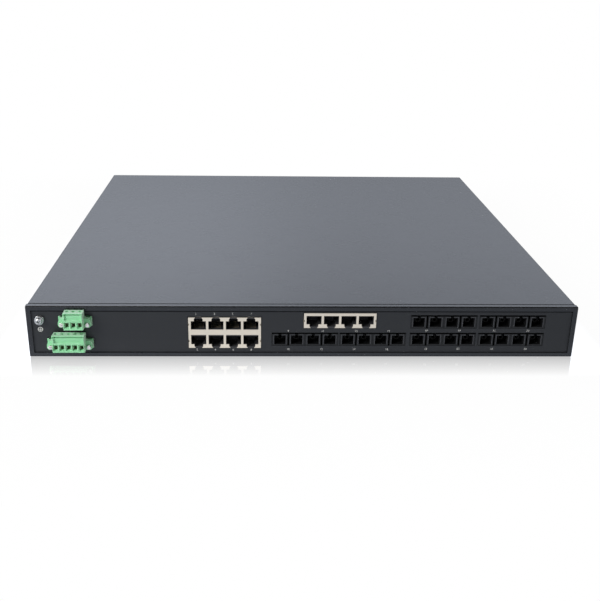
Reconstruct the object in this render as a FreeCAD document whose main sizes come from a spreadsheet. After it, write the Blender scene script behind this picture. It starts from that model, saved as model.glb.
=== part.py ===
import FreeCAD, Part
import Sketcher
import math
import os

# Rack mount ethernet switch, one rack unit high. All sizes are in millimetres.
# X runs to the right as seen from the front, Y towards the back and Z up.
# The origin is the centre of the underside of the case, and the front frame faces -Y.

# Driving dimensions, by sub-assembly. Each becomes a spreadsheet cell with this alias.
SIZES = {
    # Case: folded sheet steel
    "case_width": 440,
    "case_depth": 440,
    "case_height": 44,
    "gauge": 1.2,
    "bend_outer": 1.6,
    "rim_bend": 1.4,
    "fit_gap": 0.2,
    "overcut": 1,
    "bite": 0.1,
    "frame_border": 3.7,
    "rim_depth": 5.2,
    "seam_gap": 0.7,
    "tab_reach": 12,
    "upstand_height": 9,
    "cover_foot": 0.4,
    "lip_height": 12,
    "lip_relief": 0.8,
    # Vent slots in both side walls of the cover
    "vent_width": 3,
    "vent_length": 18,
    "vent_pitch": 8,
    "vent_height": 24,
    "vent_front": -116,
    "vent_rear": 64,
    # Rack ear fixing: press nuts in both side walls
    "ear_hole_y": -178,
    "ear_hole_z": 22,
    "ear_pitch_y": 28,
    "nut_bore_radius": 1.65,
    "nut_shank_radius": 2.7,
    "nut_flange_radius": 4,
    "nut_flange": 2,
    # Small machine screws
    "screw_shank_radius": 1.4,
    "screw_tapped_radius": 1.5,
    "screw_hole_radius": 1.7,
    "screw_head_radius": 2.8,
    "screw_head": 1.8,
    "screw_length": 5,
    "sunk_head_radius": 2.9,
    "sunk_angle": 45,
    "side_screw_pitch": 150,
    "side_screw_z": 5,
    "rear_screw_pitch": 150,
    # Front panel behind the frame
    "panel_half_width": 217,
    "panel_bottom": 1.3,
    "panel_top": 39.2,
    "panel_flange": 11,
    "cutout_gap": 0.4,
    # Earth terminal
    "earth_x": -209.9,
    "earth_z": 32,
    "earth_washer_radius": 3.6,
    "earth_washer": 0.8,
    "earth_spring_radius": 3,
    "earth_spring": 1,
    "earth_spring_cut": 0.7,
    "earth_head_radius": 2.9,
    "earth_head": 2.3,
    "earth_crown": 0.8,
    "earth_crown_angle": -45,
    "earth_recess": 3.4,
    "earth_recess_width": 0.8,
    "earth_recess_depth": 1.2,
    "earth_nut_radius": 3.2,
    "earth_nut": 2.4,
    "earth_screw_end": 1,
    # Circuit boards
    "board": 1.6,
    "board_top": 8,
    "row_pitch": 15.4,
    "board_front": -215,
    "main_left": -130,
    "main_right": 205,
    "main_back": 40,
    "mezzanine_left": -6,
    "mezzanine_right": 200,
    "mezzanine_back": -138,
    "psu_left": -210,
    "psu_right": -140,
    "psu_front": -200,
    "psu_back": 40,
    "standoff_radius": 3,
    "spacer_radius": 2.8,
    "board_screw_inset": 8,
    "main_screw_left_y": -170,
    "main_screw_front_y": -120,
    "spacer_row_pitch": 20,
    # Copper ports: shielded jacks
    "port_pitch": 13.97,
    "mouth_width": 12.1,
    "mouth_height": 7.2,
    "latch_wide": 7.1,
    "latch_narrow": 4.6,
    "latch_step": 1.7,
    "latch_reach": 10.4,
    "latch_overcut": 0.4,
    "latch_wall": 1,
    "row_band": 5.7,
    "top_band": 2.3,
    "shield_side": 2,
    "shield_gauge": 0.35,
    "shield_proud": 0.8,
    "shield_cut": 1.6,
    "jack_fit": 0.05,
    "jack_double_x": -63.4,
    "jack_double_depth": 25.4,
    "jack_single_x": 28.95,
    "jack_single_base": 25.6,
    "jack_single_depth": 21.6,
    "jack_cavity": 14,
    "finger_width": 0.7,
    "finger_height": 1.7,
    "finger_rise": 4.3,
    "contact_pitch": 1.02,
    "contact_width": 0.4,
    "contact_start": 3.6,
    "contact_end": 12.6,
    "contact_rise": 2.5,
    "contact_gauge": 0.4,
    # Fibre ports: duplex transceivers with square sockets
    "socket_width": 9.4,
    "socket_height": 7.9,
    "socket_pitch": 13.5,
    "socket_wall": 1.85,
    "socket_lip": 1.1,
    "socket_depth": 11,
    "socket_split": 1.4,
    "socket_split_depth": 9,
    "socket_key": 2.7,
    "socket_key_depth": 5,
    "socket_rise": 6.85,
    "nose_setback": 0.2,
    "nose_length": 12,
    "transceiver_pitch": 26.8,
    "transceiver_body_width": 25.4,
    "transceiver_body_length": 27,
    "transceiver_lid": 0.6,
    "transceiver_lid_inset": 1.5,
    "fibre_cutout": 53.8,
    "fibre_cutout_above": 1.3,
    "fibre_pair_one": 1.1,
    "fibre_pair_two": 55.9,
    "fibre_pair_three": 112.8,
    "fibre_pair_four": 168.4,
    "sleeve_radius": 2.3,
    "sleeve_bore": 1.25,
    "sleeve_length": 5.2,
    # Terminals: plug with screw flanges in a shrouded header
    "pin_pitch": 5.08,
    "plug_right": -174,
    "power_bottom": 7.8,
    "alarm_bottom": 27.1,
    "plug_height": 14,
    "plug_front": -228.6,
    "plug_shoulder": -220.2,
    "plug_tongue_back": -212.4,
    "plug_tongue_inset": 1.2,
    "plug_tongue_low": 1.6,
    "plug_tongue_high": 7,
    "plug_bevel": 0.4,
    "plug_field_low": 8.2,
    "plug_field_side": 1.3,
    "plug_field_top": 0.9,
    "plug_field_depth": 1,
    "well_radius": 1.5,
    "well_y": -223.4,
    "well_depth": 4.6,
    "chamber_width": 3.8,
    "chamber_front": -226,
    "chamber_back": -221.2,
    "chamber_low": 1.2,
    "funnel_width": 4.3,
    "funnel_height": 5.4,
    "funnel_depth": 1.2,
    "funnel_angle": -28,
    "entry_width": 3,
    "entry_height": 3.6,
    "entry_rise": 3.9,
    "wing_reach": 5.3,
    "wing_low": 0.3,
    "wing_corner": 1.4,
    "wing_side": 4.4,
    "wing_top": 8,
    "wing_top_reach": 3.9,
    "wing_front": -223.6,
    "wing_screw_reach": 2.54,
    "wing_screw_rise": 2.8,
    "wing_screw_radius": 1.25,
    "wing_screw_hole": 1.35,
    "wing_screw_head_radius": 1.8,
    "wing_screw_head": 1.9,
    "wing_screw_slot": 0.6,
    "wing_screw_slot_depth": 0.8,
    "wing_screw_end": -213.6,
    "header_front": -220,
    "header_back": -208,
    "header_low": 0.4,
    "header_high": 8.2,
    "header_end": 0.2,
    "header_floor": -211.4,
    "header_fit": 0.15,
    "header_slot": 3.4,
    "header_slot_depth": 3,
    "pin_size": 1,
    "pin_hole": 1.2,
    "pin_tip": -217.4,
    "pin_tail": -204.8,
    "pin_rise": 4.2,
    "pin_slot_width": 2.4,
    "pin_slot_height": 1.4,
    "pin_slot_end": -219,
    "cage_width": 3.4,
    "cage_low": 1.6,
    "cage_high": 8,
    "cage_front": -225.8,
    "cage_back": -221.4,
    "cage_opening": 2.6,
    "clamp_head_radius": 1.35,
    "clamp_head_top": 2.2,
    "clamp_slot": 0.6,
    "clamp_slot_depth": 0.9,
    "terminal_board_left": -207,
    "terminal_board_right": -166,
    "terminal_board_low": 4,
    "terminal_board_high": 39.6,
    # Parts on the boards
    "chip_size": 31,
    "chip_height": 2.2,
    "chip_x": 20,
    "chip_y": -60,
    "sink_size": 46,
    "sink_base": 3,
    "sink_height": 16,
    "sink_fin": 1.6,
    "sink_fin_pitch": 4.44,
    "phy_size": 20,
    "phy_height": 1.6,
    "phy_y": -150,
    "phy_middle_x": 31,
    "phy_right_x": 138,
    "magnetic_length": 12,
    "magnetic_width": 9,
    "magnetic_height": 5.6,
    "magnetic_gap": 6,
    "capacitor_radius": 6.3,
    "capacitor_height": 25,
    "capacitor_x": -157,
    "capacitor_y": -120,
    "capacitor_pitch": 16,
    "small_capacitor_radius": 4,
    "small_capacitor_height": 10.5,
    "small_capacitor_x": -110,
    "small_capacitor_y": -40,
    "small_capacitor_pitch": 12,
    "transformer_width": 30,
    "transformer_length": 34,
    "transformer_height": 24,
    "transformer_x": -180,
    "transformer_y": -60,
    "transformer_core": 18,
    "transformer_step": 3.5,
    "choke_radius": 11,
    "choke_bore": 5,
    "choke_height": 9,
    "choke_x": -185,
    "choke_y": -160,
    "psu_sink_left": -150,
    "psu_sink_front": -40,
    "psu_sink_length": 60,
    "psu_sink_height": 28,
    "psu_sink_plate": 3,
    "psu_sink_foot": 9,
    "link_left": -145,
    "link_right": -125,
    "link_front": -95,
    "link_length": 26,
    "link_height": 8.5,
    "stack_left": 60,
    "stack_length": 60,
    "stack_width": 6,
    "stack_y": -160,
    "riser_length": 30,
    "riser_depth": 5,
    "riser_height": 3.2,
}

# Counts of what repeats
VENT_SLOTS = 8
PORT_COLUMNS = 4
PORT_CONTACTS = 8
SINK_FINS = 11
LARGE_CAPACITORS = 4
SMALL_CAPACITORS = 5
POWER_PINS = 5
ALARM_PINS = 3

# Sides of the outlines that stand for small round holes and heads
ROUND_SIDES = 12
SLEEVE_SIDES = 6
HEXAGON_SIDES = 6

TOLERANCE = 1e-4

doc = FreeCAD.newDocument("rack_switch")
sheet = doc.addObject("Spreadsheet::Sheet", "Sizes")
for row, (alias, size) in enumerate(SIZES.items(), 1):
    sheet.set(f"A{row}", alias)
    sheet.set(f"B{row}", str(size))
    sheet.setAlias(f"B{row}", alias)
doc.recompute()


class Size:
    """A length that carries its value and the spreadsheet formula that gives it."""

    def __init__(self, value, formula):
        self.value = value
        self.formula = formula

    @staticmethod
    def of(thing):
        return thing if isinstance(thing, Size) else Size(float(thing), f"({float(thing)})")

    def join(self, sign, other, value):
        return Size(value, f"({self.formula} {sign} {other.formula})")

    def __add__(self, other):
        other = Size.of(other)
        return self.join("+", other, self.value + other.value)

    def __sub__(self, other):
        other = Size.of(other)
        return self.join("-", other, self.value - other.value)

    def __mul__(self, other):
        other = Size.of(other)
        return self.join("*", other, self.value * other.value)

    def __truediv__(self, other):
        other = Size.of(other)
        return self.join("/", other, self.value / other.value)

    def __radd__(self, other):
        return Size.of(other) + self

    def __rsub__(self, other):
        return Size.of(other) - self

    def __rmul__(self, other):
        return Size.of(other) * self

    def __neg__(self):
        return Size(-self.value, f"(-{self.formula})")


class Cells:
    """Reads a cell of the spreadsheet by its alias, as a Size."""

    def __getattr__(self, alias):
        return Size(float(SIZES[alias]), f"{sheet.Name}.{alias}")


dim = Cells()


def bind(thing, path, size):
    """Tie a property to the spreadsheet formula of a size."""
    thing.setExpression(path, Size.of(size).formula)


class Drawing:
    """Curves, constraints and formulas of one sketch, handed to it together."""

    def __init__(self):
        self.curves = []
        self.constraints = []
        self.formulas = {}

    def draw(self, curve):
        self.curves.append(curve)
        return len(self.curves) - 1

    def join(self, first, first_end, second, second_end):
        self.constraints.append(
            Sketcher.Constraint("Coincident", first, first_end, second, second_end)
        )

    def measure(self, kind, size, *elements):
        size = Size.of(size)
        self.formulas[len(self.constraints)] = size
        self.constraints.append(Sketcher.Constraint(kind, *elements, size.value))

    def place(self, curve, point, x, y):
        self.measure("DistanceX", x, -1, 1, curve, point)
        self.measure("DistanceY", y, -1, 1, curve, point)

    def hand_to(self, sketch):
        sketch.addGeometry(self.curves, False)
        sketch.addConstraint(self.constraints)
        for index, size in self.formulas.items():
            bind(sketch, f"Constraints[{index}]", size)


# Sketch outlines: each is a function that draws one closed loop with constraints on the cells


def polygon(points):
    """Closed loop through the points. A third value rounds a square corner by that radius."""

    def outline(drawing):
        corners = [[Size.of(size) for size in point] for point in points]
        count = len(corners)
        spans = []
        for n, corner in enumerate(corners):
            if len(corner) == 2:
                spans.append((corner, corner))
                continue
            x, y, radius = corner
            before = corners[n - 1]
            after = corners[(n + 1) % count]
            spans.append((step_towards(x, y, before, radius), step_towards(x, y, after, radius)))
        lines = []
        for n in range(count):
            start = spans[n][1]
            end = spans[(n + 1) % count][0]
            lines.append(drawing.draw(Part.LineSegment(flat_vector(*start), flat_vector(*end))))
            drawing.place(lines[-1], 1, *start)
        for n, corner in enumerate(corners):
            previous = lines[n - 1]
            if len(corner) == 2:
                drawing.join(previous, 2, lines[n], 1)
                continue
            drawing.place(previous, 2, *spans[n][0])
            add_bend(drawing, previous, lines[n], spans[n], corner)

    return outline


def flat_vector(x, y):
    return FreeCAD.Vector(Size.of(x).value, Size.of(y).value, 0)


def step_towards(x, y, target, distance):
    """Point at the distance from (x, y) towards a target that lies straight along one axis."""
    if abs(target[0].value - x.value) > abs(target[1].value - y.value):
        return (x + distance if target[0].value > x.value else x - distance, y)
    return (x, y + distance if target[1].value > y.value else y - distance)


def add_bend(drawing, previous, following, span, corner):
    """Quarter circle between two lines of a loop, tied to their ends and to its radius."""
    entry, leave = (flat_vector(*end) for end in span)
    centre = entry + leave - flat_vector(*corner[:2])
    turn = (entry - centre).cross(leave - centre).z
    first, last = (entry, leave) if turn > 0 else (leave, entry)
    angles = [math.atan2(end.y - centre.y, end.x - centre.x) for end in (first, last)]
    if angles[1] < angles[0]:
        angles[1] += 2 * math.pi
    circle = Part.Circle(centre, FreeCAD.Vector(0, 0, 1), corner[2].value)
    arc = drawing.draw(Part.ArcOfCircle(circle, *angles))
    at_entry, at_leave = (1, 2) if turn > 0 else (2, 1)
    drawing.join(previous, 2, arc, at_entry)
    drawing.join(arc, at_leave, following, 1)
    drawing.measure("Radius", corner[2], arc)


def rectangle(left, right, low, high):
    return polygon([(left, low), (right, low), (right, high), (left, high)])


def centred(x, y, width, height):
    """Rectangle by its centre and its sizes."""
    return rectangle(x - width / 2, x + width / 2, y - height / 2, y + height / 2)


def disc(x, y, radius):
    def outline(drawing):
        circle = Part.Circle(flat_vector(x, y), FreeCAD.Vector(0, 0, 1), Size.of(radius).value)
        curve = drawing.draw(circle)
        drawing.place(curve, 3, x, y)
        drawing.measure("Radius", radius, curve)

    return outline


def many_sided(x, y, radius, sides):
    """Regular outline with its corners on a circle, the first of them along the sketch's X."""
    steps = [2 * math.pi * n / sides for n in range(sides)]
    return polygon([(x + radius * math.cos(step), y + radius * math.sin(step)) for step in steps])


def small_round(x, y, radius):
    """Small hole or head, with few sides because it is one of many."""
    return many_sided(x, y, radius, ROUND_SIDES)


def hexagon(x, y, radius):
    return many_sided(x, y, radius, HEXAGON_SIDES)


def new_body(label):
    body = doc.addObject("PartDesign::Body", label)
    body.Label = label
    body.AllowCompound = True
    return body


def origin_feature(body, role):
    return next(feature for feature in body.Origin.OriginFeatures if feature.Role == role)


def new_sketch(body, plane, offset, outlines):
    sketch = body.newObject("Sketcher::SketchObject", body.Label + "_sketch")
    sketch.AttachmentSupport = [(origin_feature(body, plane + "_Plane"), "")]
    sketch.MapMode = "FlatFace"
    bind(sketch, "AttachmentOffset.Base.z", offset)
    drawing = Drawing()
    for outline in outlines:
        outline(drawing)
    drawing.hand_to(sketch)
    return sketch


def add(body, plane, start, end, *outlines, taper=None):
    """Pad the outlines from start to end along the plane's axis, tapering away from its sketch."""
    start = Size.of(start)
    end = Size.of(end)
    offset = -end if plane == "XZ" else start
    feature = body.newObject("PartDesign::Pad", body.Label + "_pad")
    feature.Profile = new_sketch(body, plane, offset, outlines)
    bind(feature, "Length", end - start)
    if taper is not None:
        bind(feature, "TaperAngle", taper)
    doc.recompute()
    return feature


def cut(body, plane, start, end, *outlines, taper=None):
    """Pocket the outlines between start and end along the plane's axis, and check that it cuts."""
    start = Size.of(start)
    end = Size.of(end)
    offset = -start if plane == "XZ" else end
    before = body.Shape.Volume
    feature = body.newObject("PartDesign::Pocket", body.Label + "_pocket")
    feature.Profile = new_sketch(body, plane, offset, outlines)
    bind(feature, "Length", end - start)
    if taper is not None:
        bind(feature, "TaperAngle", taper)
    doc.recompute()
    if not body.Shape.Volume < before:
        raise RuntimeError(f"a pocket of {body.Label} removes nothing")
    return feature


def repeat(body, feature, axis, pitch, count):
    """Repeat a feature along an axis of the body."""
    pattern = body.newObject("PartDesign::LinearPattern", body.Label + "_row")
    pattern.Originals = [feature]
    pattern.Direction = (origin_feature(body, axis + "_Axis"), [""])
    bind(pattern, "Length", Size.of(pitch) * (count - 1))
    pattern.Occurrences = count
    body.Tip = pattern
    doc.recompute()
    return pattern


def repeat_grid(body, feature, axis, fine_pitch, fine_count, coarse_pitch, coarse_count):
    """Repeat a feature in groups along one axis of the body."""
    grid = body.newObject("PartDesign::MultiTransform", body.Label + "_grid")
    rows = []
    for pitch, count in ((fine_pitch, fine_count), (coarse_pitch, coarse_count)):
        step = body.newObject("PartDesign::LinearPattern", body.Label + "_step")
        step.Direction = (origin_feature(body, axis + "_Axis"), [""])
        bind(step, "Length", Size.of(pitch) * (count - 1))
        step.Occurrences = count
        rows.append(step)
    grid.Originals = [feature]
    grid.Transformations = rows
    body.Tip = grid
    doc.recompute()


def bevel_edges(body, size, is_wanted):
    """Chamfer the edges of a body whose bounding box passes a test."""
    base = body.Tip
    names = [f"Edge{n}" for n, edge in enumerate(base.Shape.Edges, 1) if is_wanted(edge.BoundBox)]
    if not names:
        raise RuntimeError(f"no edge of {body.Label} passes the test")
    feature = body.newObject("PartDesign::Chamfer", body.Label + "_bevel")
    feature.Base = (base, names)
    bind(feature, "Size", size)
    doc.recompute()


def near(first, second):
    return abs(Size.of(first).value - Size.of(second).value) < TOLERANCE


# Shared places of the case

half_width = dim.case_width / 2
front = -dim.case_depth / 2
back = dim.case_depth / 2
top = dim.case_height
inner_top = top - dim.gauge
rim_back = front + dim.rim_depth
cover_front = rim_back + dim.seam_gap
frame_back = front + dim.gauge
panel_back = frame_back + dim.gauge
wall_inner = half_width - dim.gauge
flange_outer = wall_inner - dim.fit_gap
flange_inner = flange_outer - dim.gauge
rear_outer = back - dim.gauge - dim.fit_gap
rear_inner = rear_outer - dim.gauge
tab_top = inner_top - dim.fit_gap / 2
tab_under = tab_top - dim.gauge
tab_front = rim_back - dim.gauge
tab_back = tab_front + dim.tab_reach
rear_tab_front = rear_outer - dim.tab_reach
lip_low = top - dim.lip_height
rear_screw_z = top - dim.lip_height / 2
past_side = half_width + dim.overcut
SIDES = (-1, 1)


def chassis_base():
    """Tray folded from one sheet: bottom, front frame with its rim, rear wall and side flanges."""
    body = new_body("chassis_base")
    wide = dim.bend_outer
    section = polygon(
        [
            (front, 0, wide),
            (rear_outer, 0, wide),
            (rear_outer, tab_top, wide),
            (rear_tab_front, tab_top),
            (rear_tab_front, tab_under),
            (rear_inner, tab_under),
            (rear_inner, dim.gauge),
            (frame_back, dim.gauge),
            (frame_back, inner_top),
            (tab_front, inner_top),
            (tab_front, tab_under),
            (tab_back, tab_under),
            (tab_back, tab_top),
            (rim_back, tab_top),
            (rim_back, top),
            (front, top, dim.rim_bend),
        ]
    )
    add(body, "YZ", -half_width, half_width, section)
    strips = [
        rectangle(
            side * flange_outer,
            side * (half_width + dim.overcut),
            rim_back,
            back + dim.overcut,
        )
        for side in SIDES
    ]
    cut(body, "XY", -dim.overcut, top + dim.overcut, *strips)
    returns = polygon(
        [
            (front, 0, wide),
            (rim_back, 0),
            (rim_back, top),
            (front, top, dim.rim_bend),
        ]
    )
    add(body, "YZ", wall_inner, half_width, returns)
    add(body, "YZ", -half_width, -wall_inner, returns)
    roots = [
        rectangle(side * flange_inner, side * (wall_inner + dim.bite), tab_front, rim_back)
        for side in SIDES
    ]
    add(body, "XY", 0, tab_under, *roots)
    tabs = []
    for side in SIDES:
        tabs.append(rectangle(side * flange_inner, side * flange_outer, rim_back, tab_back))
        tabs.append(rectangle(side * flange_inner, side * flange_outer, rear_tab_front, rear_outer))
    add(body, "XY", 0, tab_under, *tabs)
    upstands = [
        rectangle(side * flange_inner, side * flange_outer, tab_back, rear_tab_front) for side in SIDES
    ]
    add(body, "XY", 0, dim.upstand_height, *upstands)
    window = rectangle(
        -half_width + dim.frame_border,
        half_width - dim.frame_border,
        dim.frame_border,
        top - dim.frame_border,
    )
    cut(body, "XZ", front - dim.overcut, frame_back + dim.bite, window)
    side_holes = [
        small_round(y, dim.side_screw_z, dim.screw_tapped_radius) for y in side_screw_places()
    ]
    cut(body, "YZ", -half_width, half_width, *side_holes)
    rear_holes = [small_round(x, rear_screw_z, dim.screw_tapped_radius) for x in rear_screw_places()]
    cut(body, "XZ", rear_inner - dim.overcut, back, *rear_holes)


def side_screw_places():
    return [n * dim.side_screw_pitch for n in (-1, 0, 1)]


def rear_screw_places():
    return [n * dim.rear_screw_pitch for n in (-1, 0, 1)]


def ear_hole_places():
    return [(dim.ear_hole_y + end * dim.ear_pitch_y / 2, dim.ear_hole_z) for end in SIDES]


def top_cover():
    """Cover folded from one sheet: top, both side walls and a lip over the rear wall."""
    body = new_body("top_cover")
    wide = dim.bend_outer
    section = polygon(
        [
            (-half_width, dim.cover_foot),
            (-wall_inner, dim.cover_foot),
            (-wall_inner, inner_top),
            (wall_inner, inner_top),
            (wall_inner, dim.cover_foot),
            (half_width, dim.cover_foot),
            (half_width, top, wide),
            (-half_width, top, wide),
        ]
    )
    sheet_back = back - wide
    add(body, "XZ", cover_front, sheet_back, section)
    wall_ends = [
        rectangle(side * wall_inner, side * half_width, dim.cover_foot, top - wide) for side in SIDES
    ]
    add(body, "XZ", sheet_back, back, *wall_ends)
    lip_half = wall_inner - dim.lip_relief
    lip_root = sheet_back - dim.gauge
    lip = polygon(
        [
            (lip_root, inner_top),
            (back - dim.gauge, inner_top),
            (back - dim.gauge, lip_low),
            (back, lip_low),
            (back, top, wide),
            (lip_root, top),
        ]
    )
    add(body, "YZ", -lip_half, lip_half, lip)
    for start in (dim.vent_front, dim.vent_rear):
        slot = centred(start, dim.vent_height, dim.vent_width, dim.vent_length)
        first = cut(body, "YZ", -past_side, past_side, slot)
        repeat(body, first, "Y", dim.vent_pitch, VENT_SLOTS)
    ear_holes = [small_round(y, z, dim.nut_shank_radius) for y, z in ear_hole_places()]
    cut(body, "YZ", -past_side, past_side, *ear_holes)
    sinks = [small_round(y, dim.side_screw_z, dim.sunk_head_radius) for y in side_screw_places()]
    cut(body, "YZ", wall_inner, half_width, *sinks, taper=-dim.sunk_angle)
    mirror_last(body)
    rear_holes = [small_round(x, rear_screw_z, dim.screw_hole_radius) for x in rear_screw_places()]
    cut(body, "XZ", back - dim.gauge - dim.bite, back + dim.overcut, *rear_holes)


def mirror_last(body):
    """Mirror the body's last feature to the other side of the middle plane."""
    mirror = body.newObject("PartDesign::Mirrored", body.Label + "_mirror")
    mirror.Originals = [body.Tip]
    mirror.MirrorPlane = (origin_feature(body, "YZ_Plane"), [""])
    body.Tip = mirror
    doc.recompute()


# Shared places of the ports

panel_front = frame_back
main_top = dim.board_top
mezzanine_top = dim.board_top + dim.row_pitch
lower_socket_z = main_top + dim.socket_rise
upper_socket_z = mezzanine_top + dim.socket_rise
nose_front = panel_front + dim.nose_setback
nose_width = dim.socket_pitch + dim.socket_width + 2 * dim.socket_wall
nose_height = dim.socket_height + 2 * dim.socket_lip
shield_front = panel_front - dim.shield_proud
jack_half = (dim.port_pitch * (PORT_COLUMNS - 1) + dim.mouth_width) / 2 + dim.shield_side
double_low = main_top
double_lower_sill = double_low + dim.latch_reach
double_upper_sill = double_lower_sill + dim.row_band
double_high = double_upper_sill + dim.latch_reach
single_low = dim.jack_single_base
single_sill = single_low + dim.latch_reach
single_high = single_sill + dim.top_band

# Fibre ports by their number: the centre line of the transceiver and the height of its sockets
PAIRS = {
    "centre": (dim.fibre_pair_one, dim.fibre_pair_two),
    "right": (dim.fibre_pair_three, dim.fibre_pair_four),
}


def fibre_places():
    """Port number, centre line, socket height and board height of each transceiver."""
    places = []
    rows = (
        (10, "centre", lower_socket_z, main_top),
        (17, "right", upper_socket_z, mezzanine_top),
        (18, "right", lower_socket_z, main_top),
    )
    for number, block, socket_z, board_z in rows:
        for pair in PAIRS[block]:
            for side in SIDES:
                places.append((number, pair + side * dim.transceiver_pitch / 2, socket_z, board_z))
                number += 2
    return places


def plug_centre(pins):
    return dim.plug_right - dim.pin_pitch * (pins / 2)


def pin_places(pins):
    return [plug_centre(pins) + (n - (pins - 1) / 2) * dim.pin_pitch for n in range(pins)]


def wing_places(pins):
    """Flange screw positions on both sides of a plug."""
    reach = dim.pin_pitch * (pins / 2) + dim.wing_screw_reach
    return [plug_centre(pins) + side * reach for side in SIDES]


def header_half(pins):
    return dim.pin_pitch * (pins / 2) + dim.wing_reach + dim.header_end


TERMINALS = {"power": (POWER_PINS, dim.power_bottom), "alarm": (ALARM_PINS, dim.alarm_bottom)}


def front_panel():
    """Punched plate behind the frame, flanged at its foot and open above the upper jack."""
    body = new_body("front_panel")
    half = dim.panel_half_width
    low = dim.panel_bottom
    high = dim.panel_top
    flange_back = panel_back + dim.panel_flange
    section = polygon(
        [
            (panel_front, low, dim.bend_outer),
            (flange_back, low),
            (flange_back, low + dim.gauge),
            (panel_back, low + dim.gauge),
            (panel_back, high),
            (panel_front, high),
        ]
    )
    add(body, "YZ", -half, half, section)
    gap = dim.cutout_gap
    openings = [
        rectangle(
            dim.jack_double_x - jack_half - gap,
            dim.jack_double_x + jack_half + gap,
            double_low - gap,
            double_high + gap,
        ),
        rectangle(
            dim.jack_single_x - jack_half - gap,
            dim.jack_single_x + jack_half + gap,
            single_low - gap,
            high + dim.overcut,
        ),
    ]
    for block, heights in (("centre", [lower_socket_z]), ("right", [lower_socket_z, upper_socket_z])):
        for height in heights:
            for pair in PAIRS[block]:
                openings.append(
                    rectangle(
                        pair - dim.fibre_cutout / 2,
                        pair + dim.fibre_cutout / 2,
                        height - nose_height / 2 - dim.fit_gap,
                        height + nose_height / 2 + dim.fibre_cutout_above,
                    )
                )
    for pins, bottom in TERMINALS.values():
        openings.append(
            rectangle(
                plug_centre(pins) - header_half(pins) - gap,
                plug_centre(pins) + header_half(pins) + gap,
                bottom + dim.header_low - gap,
                bottom + dim.header_high + gap,
            )
        )
    openings.append(small_round(dim.earth_x, dim.earth_z, dim.screw_hole_radius))
    cut(body, "XZ", panel_front - dim.overcut, panel_back + dim.bite, *openings)


def cover_side_screws():
    """Countersunk screws through the cover's side walls into the tray's flanges."""
    body = new_body("cover_side_screws")
    places = side_screw_places()
    # At half a right angle the sides draw in by the gauge, and the corners by a little more
    head_inner = dim.sunk_head_radius - dim.gauge / math.cos(math.pi / ROUND_SIDES)
    shank_end = wall_inner - dim.screw_length
    shank = [small_round(y, dim.side_screw_z, dim.screw_shank_radius) for y in places]
    for side in SIDES:
        inner, outer = sorted((side * shank_end, side * wall_inner), key=lambda size: size.value)
        add(body, "YZ", inner, outer, *shank)
    small = [small_round(y, dim.side_screw_z, head_inner) for y in places]
    add(body, "YZ", wall_inner, half_width, *small, taper=dim.sunk_angle)
    large = [small_round(y, dim.side_screw_z, dim.sunk_head_radius) for y in places]
    add(body, "YZ", -half_width, -wall_inner, *large, taper=-dim.sunk_angle)


def cover_rear_screws():
    """Pan head screws through the cover's lip into the rear wall."""
    body = new_body("cover_rear_screws")
    places = rear_screw_places()
    heads = [small_round(x, rear_screw_z, dim.screw_head_radius) for x in places]
    add(body, "XZ", back, back + dim.screw_head, *heads)
    shanks = [small_round(x, rear_screw_z, dim.screw_shank_radius) for x in places]
    add(body, "XZ", back - dim.screw_length, back, *shanks)


def ear_nuts():
    """Press nuts, flush with the outside of the side walls, that take the rack ears' screws."""
    body = new_body("ear_nuts")
    flanges = [hexagon(y, z, dim.nut_flange_radius) for y, z in ear_hole_places()]
    shanks = [small_round(y, z, dim.nut_shank_radius) for y, z in ear_hole_places()]
    bores = [disc(y, z, dim.nut_bore_radius) for y, z in ear_hole_places()]
    flange_face = wall_inner - dim.nut_flange
    add(body, "YZ", flange_face, wall_inner, *flanges)
    add(body, "YZ", -wall_inner, -flange_face, *flanges)
    add(body, "YZ", wall_inner, half_width, *shanks)
    add(body, "YZ", -half_width, -wall_inner, *shanks)
    cut(body, "YZ", -past_side, past_side, *bores)


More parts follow.
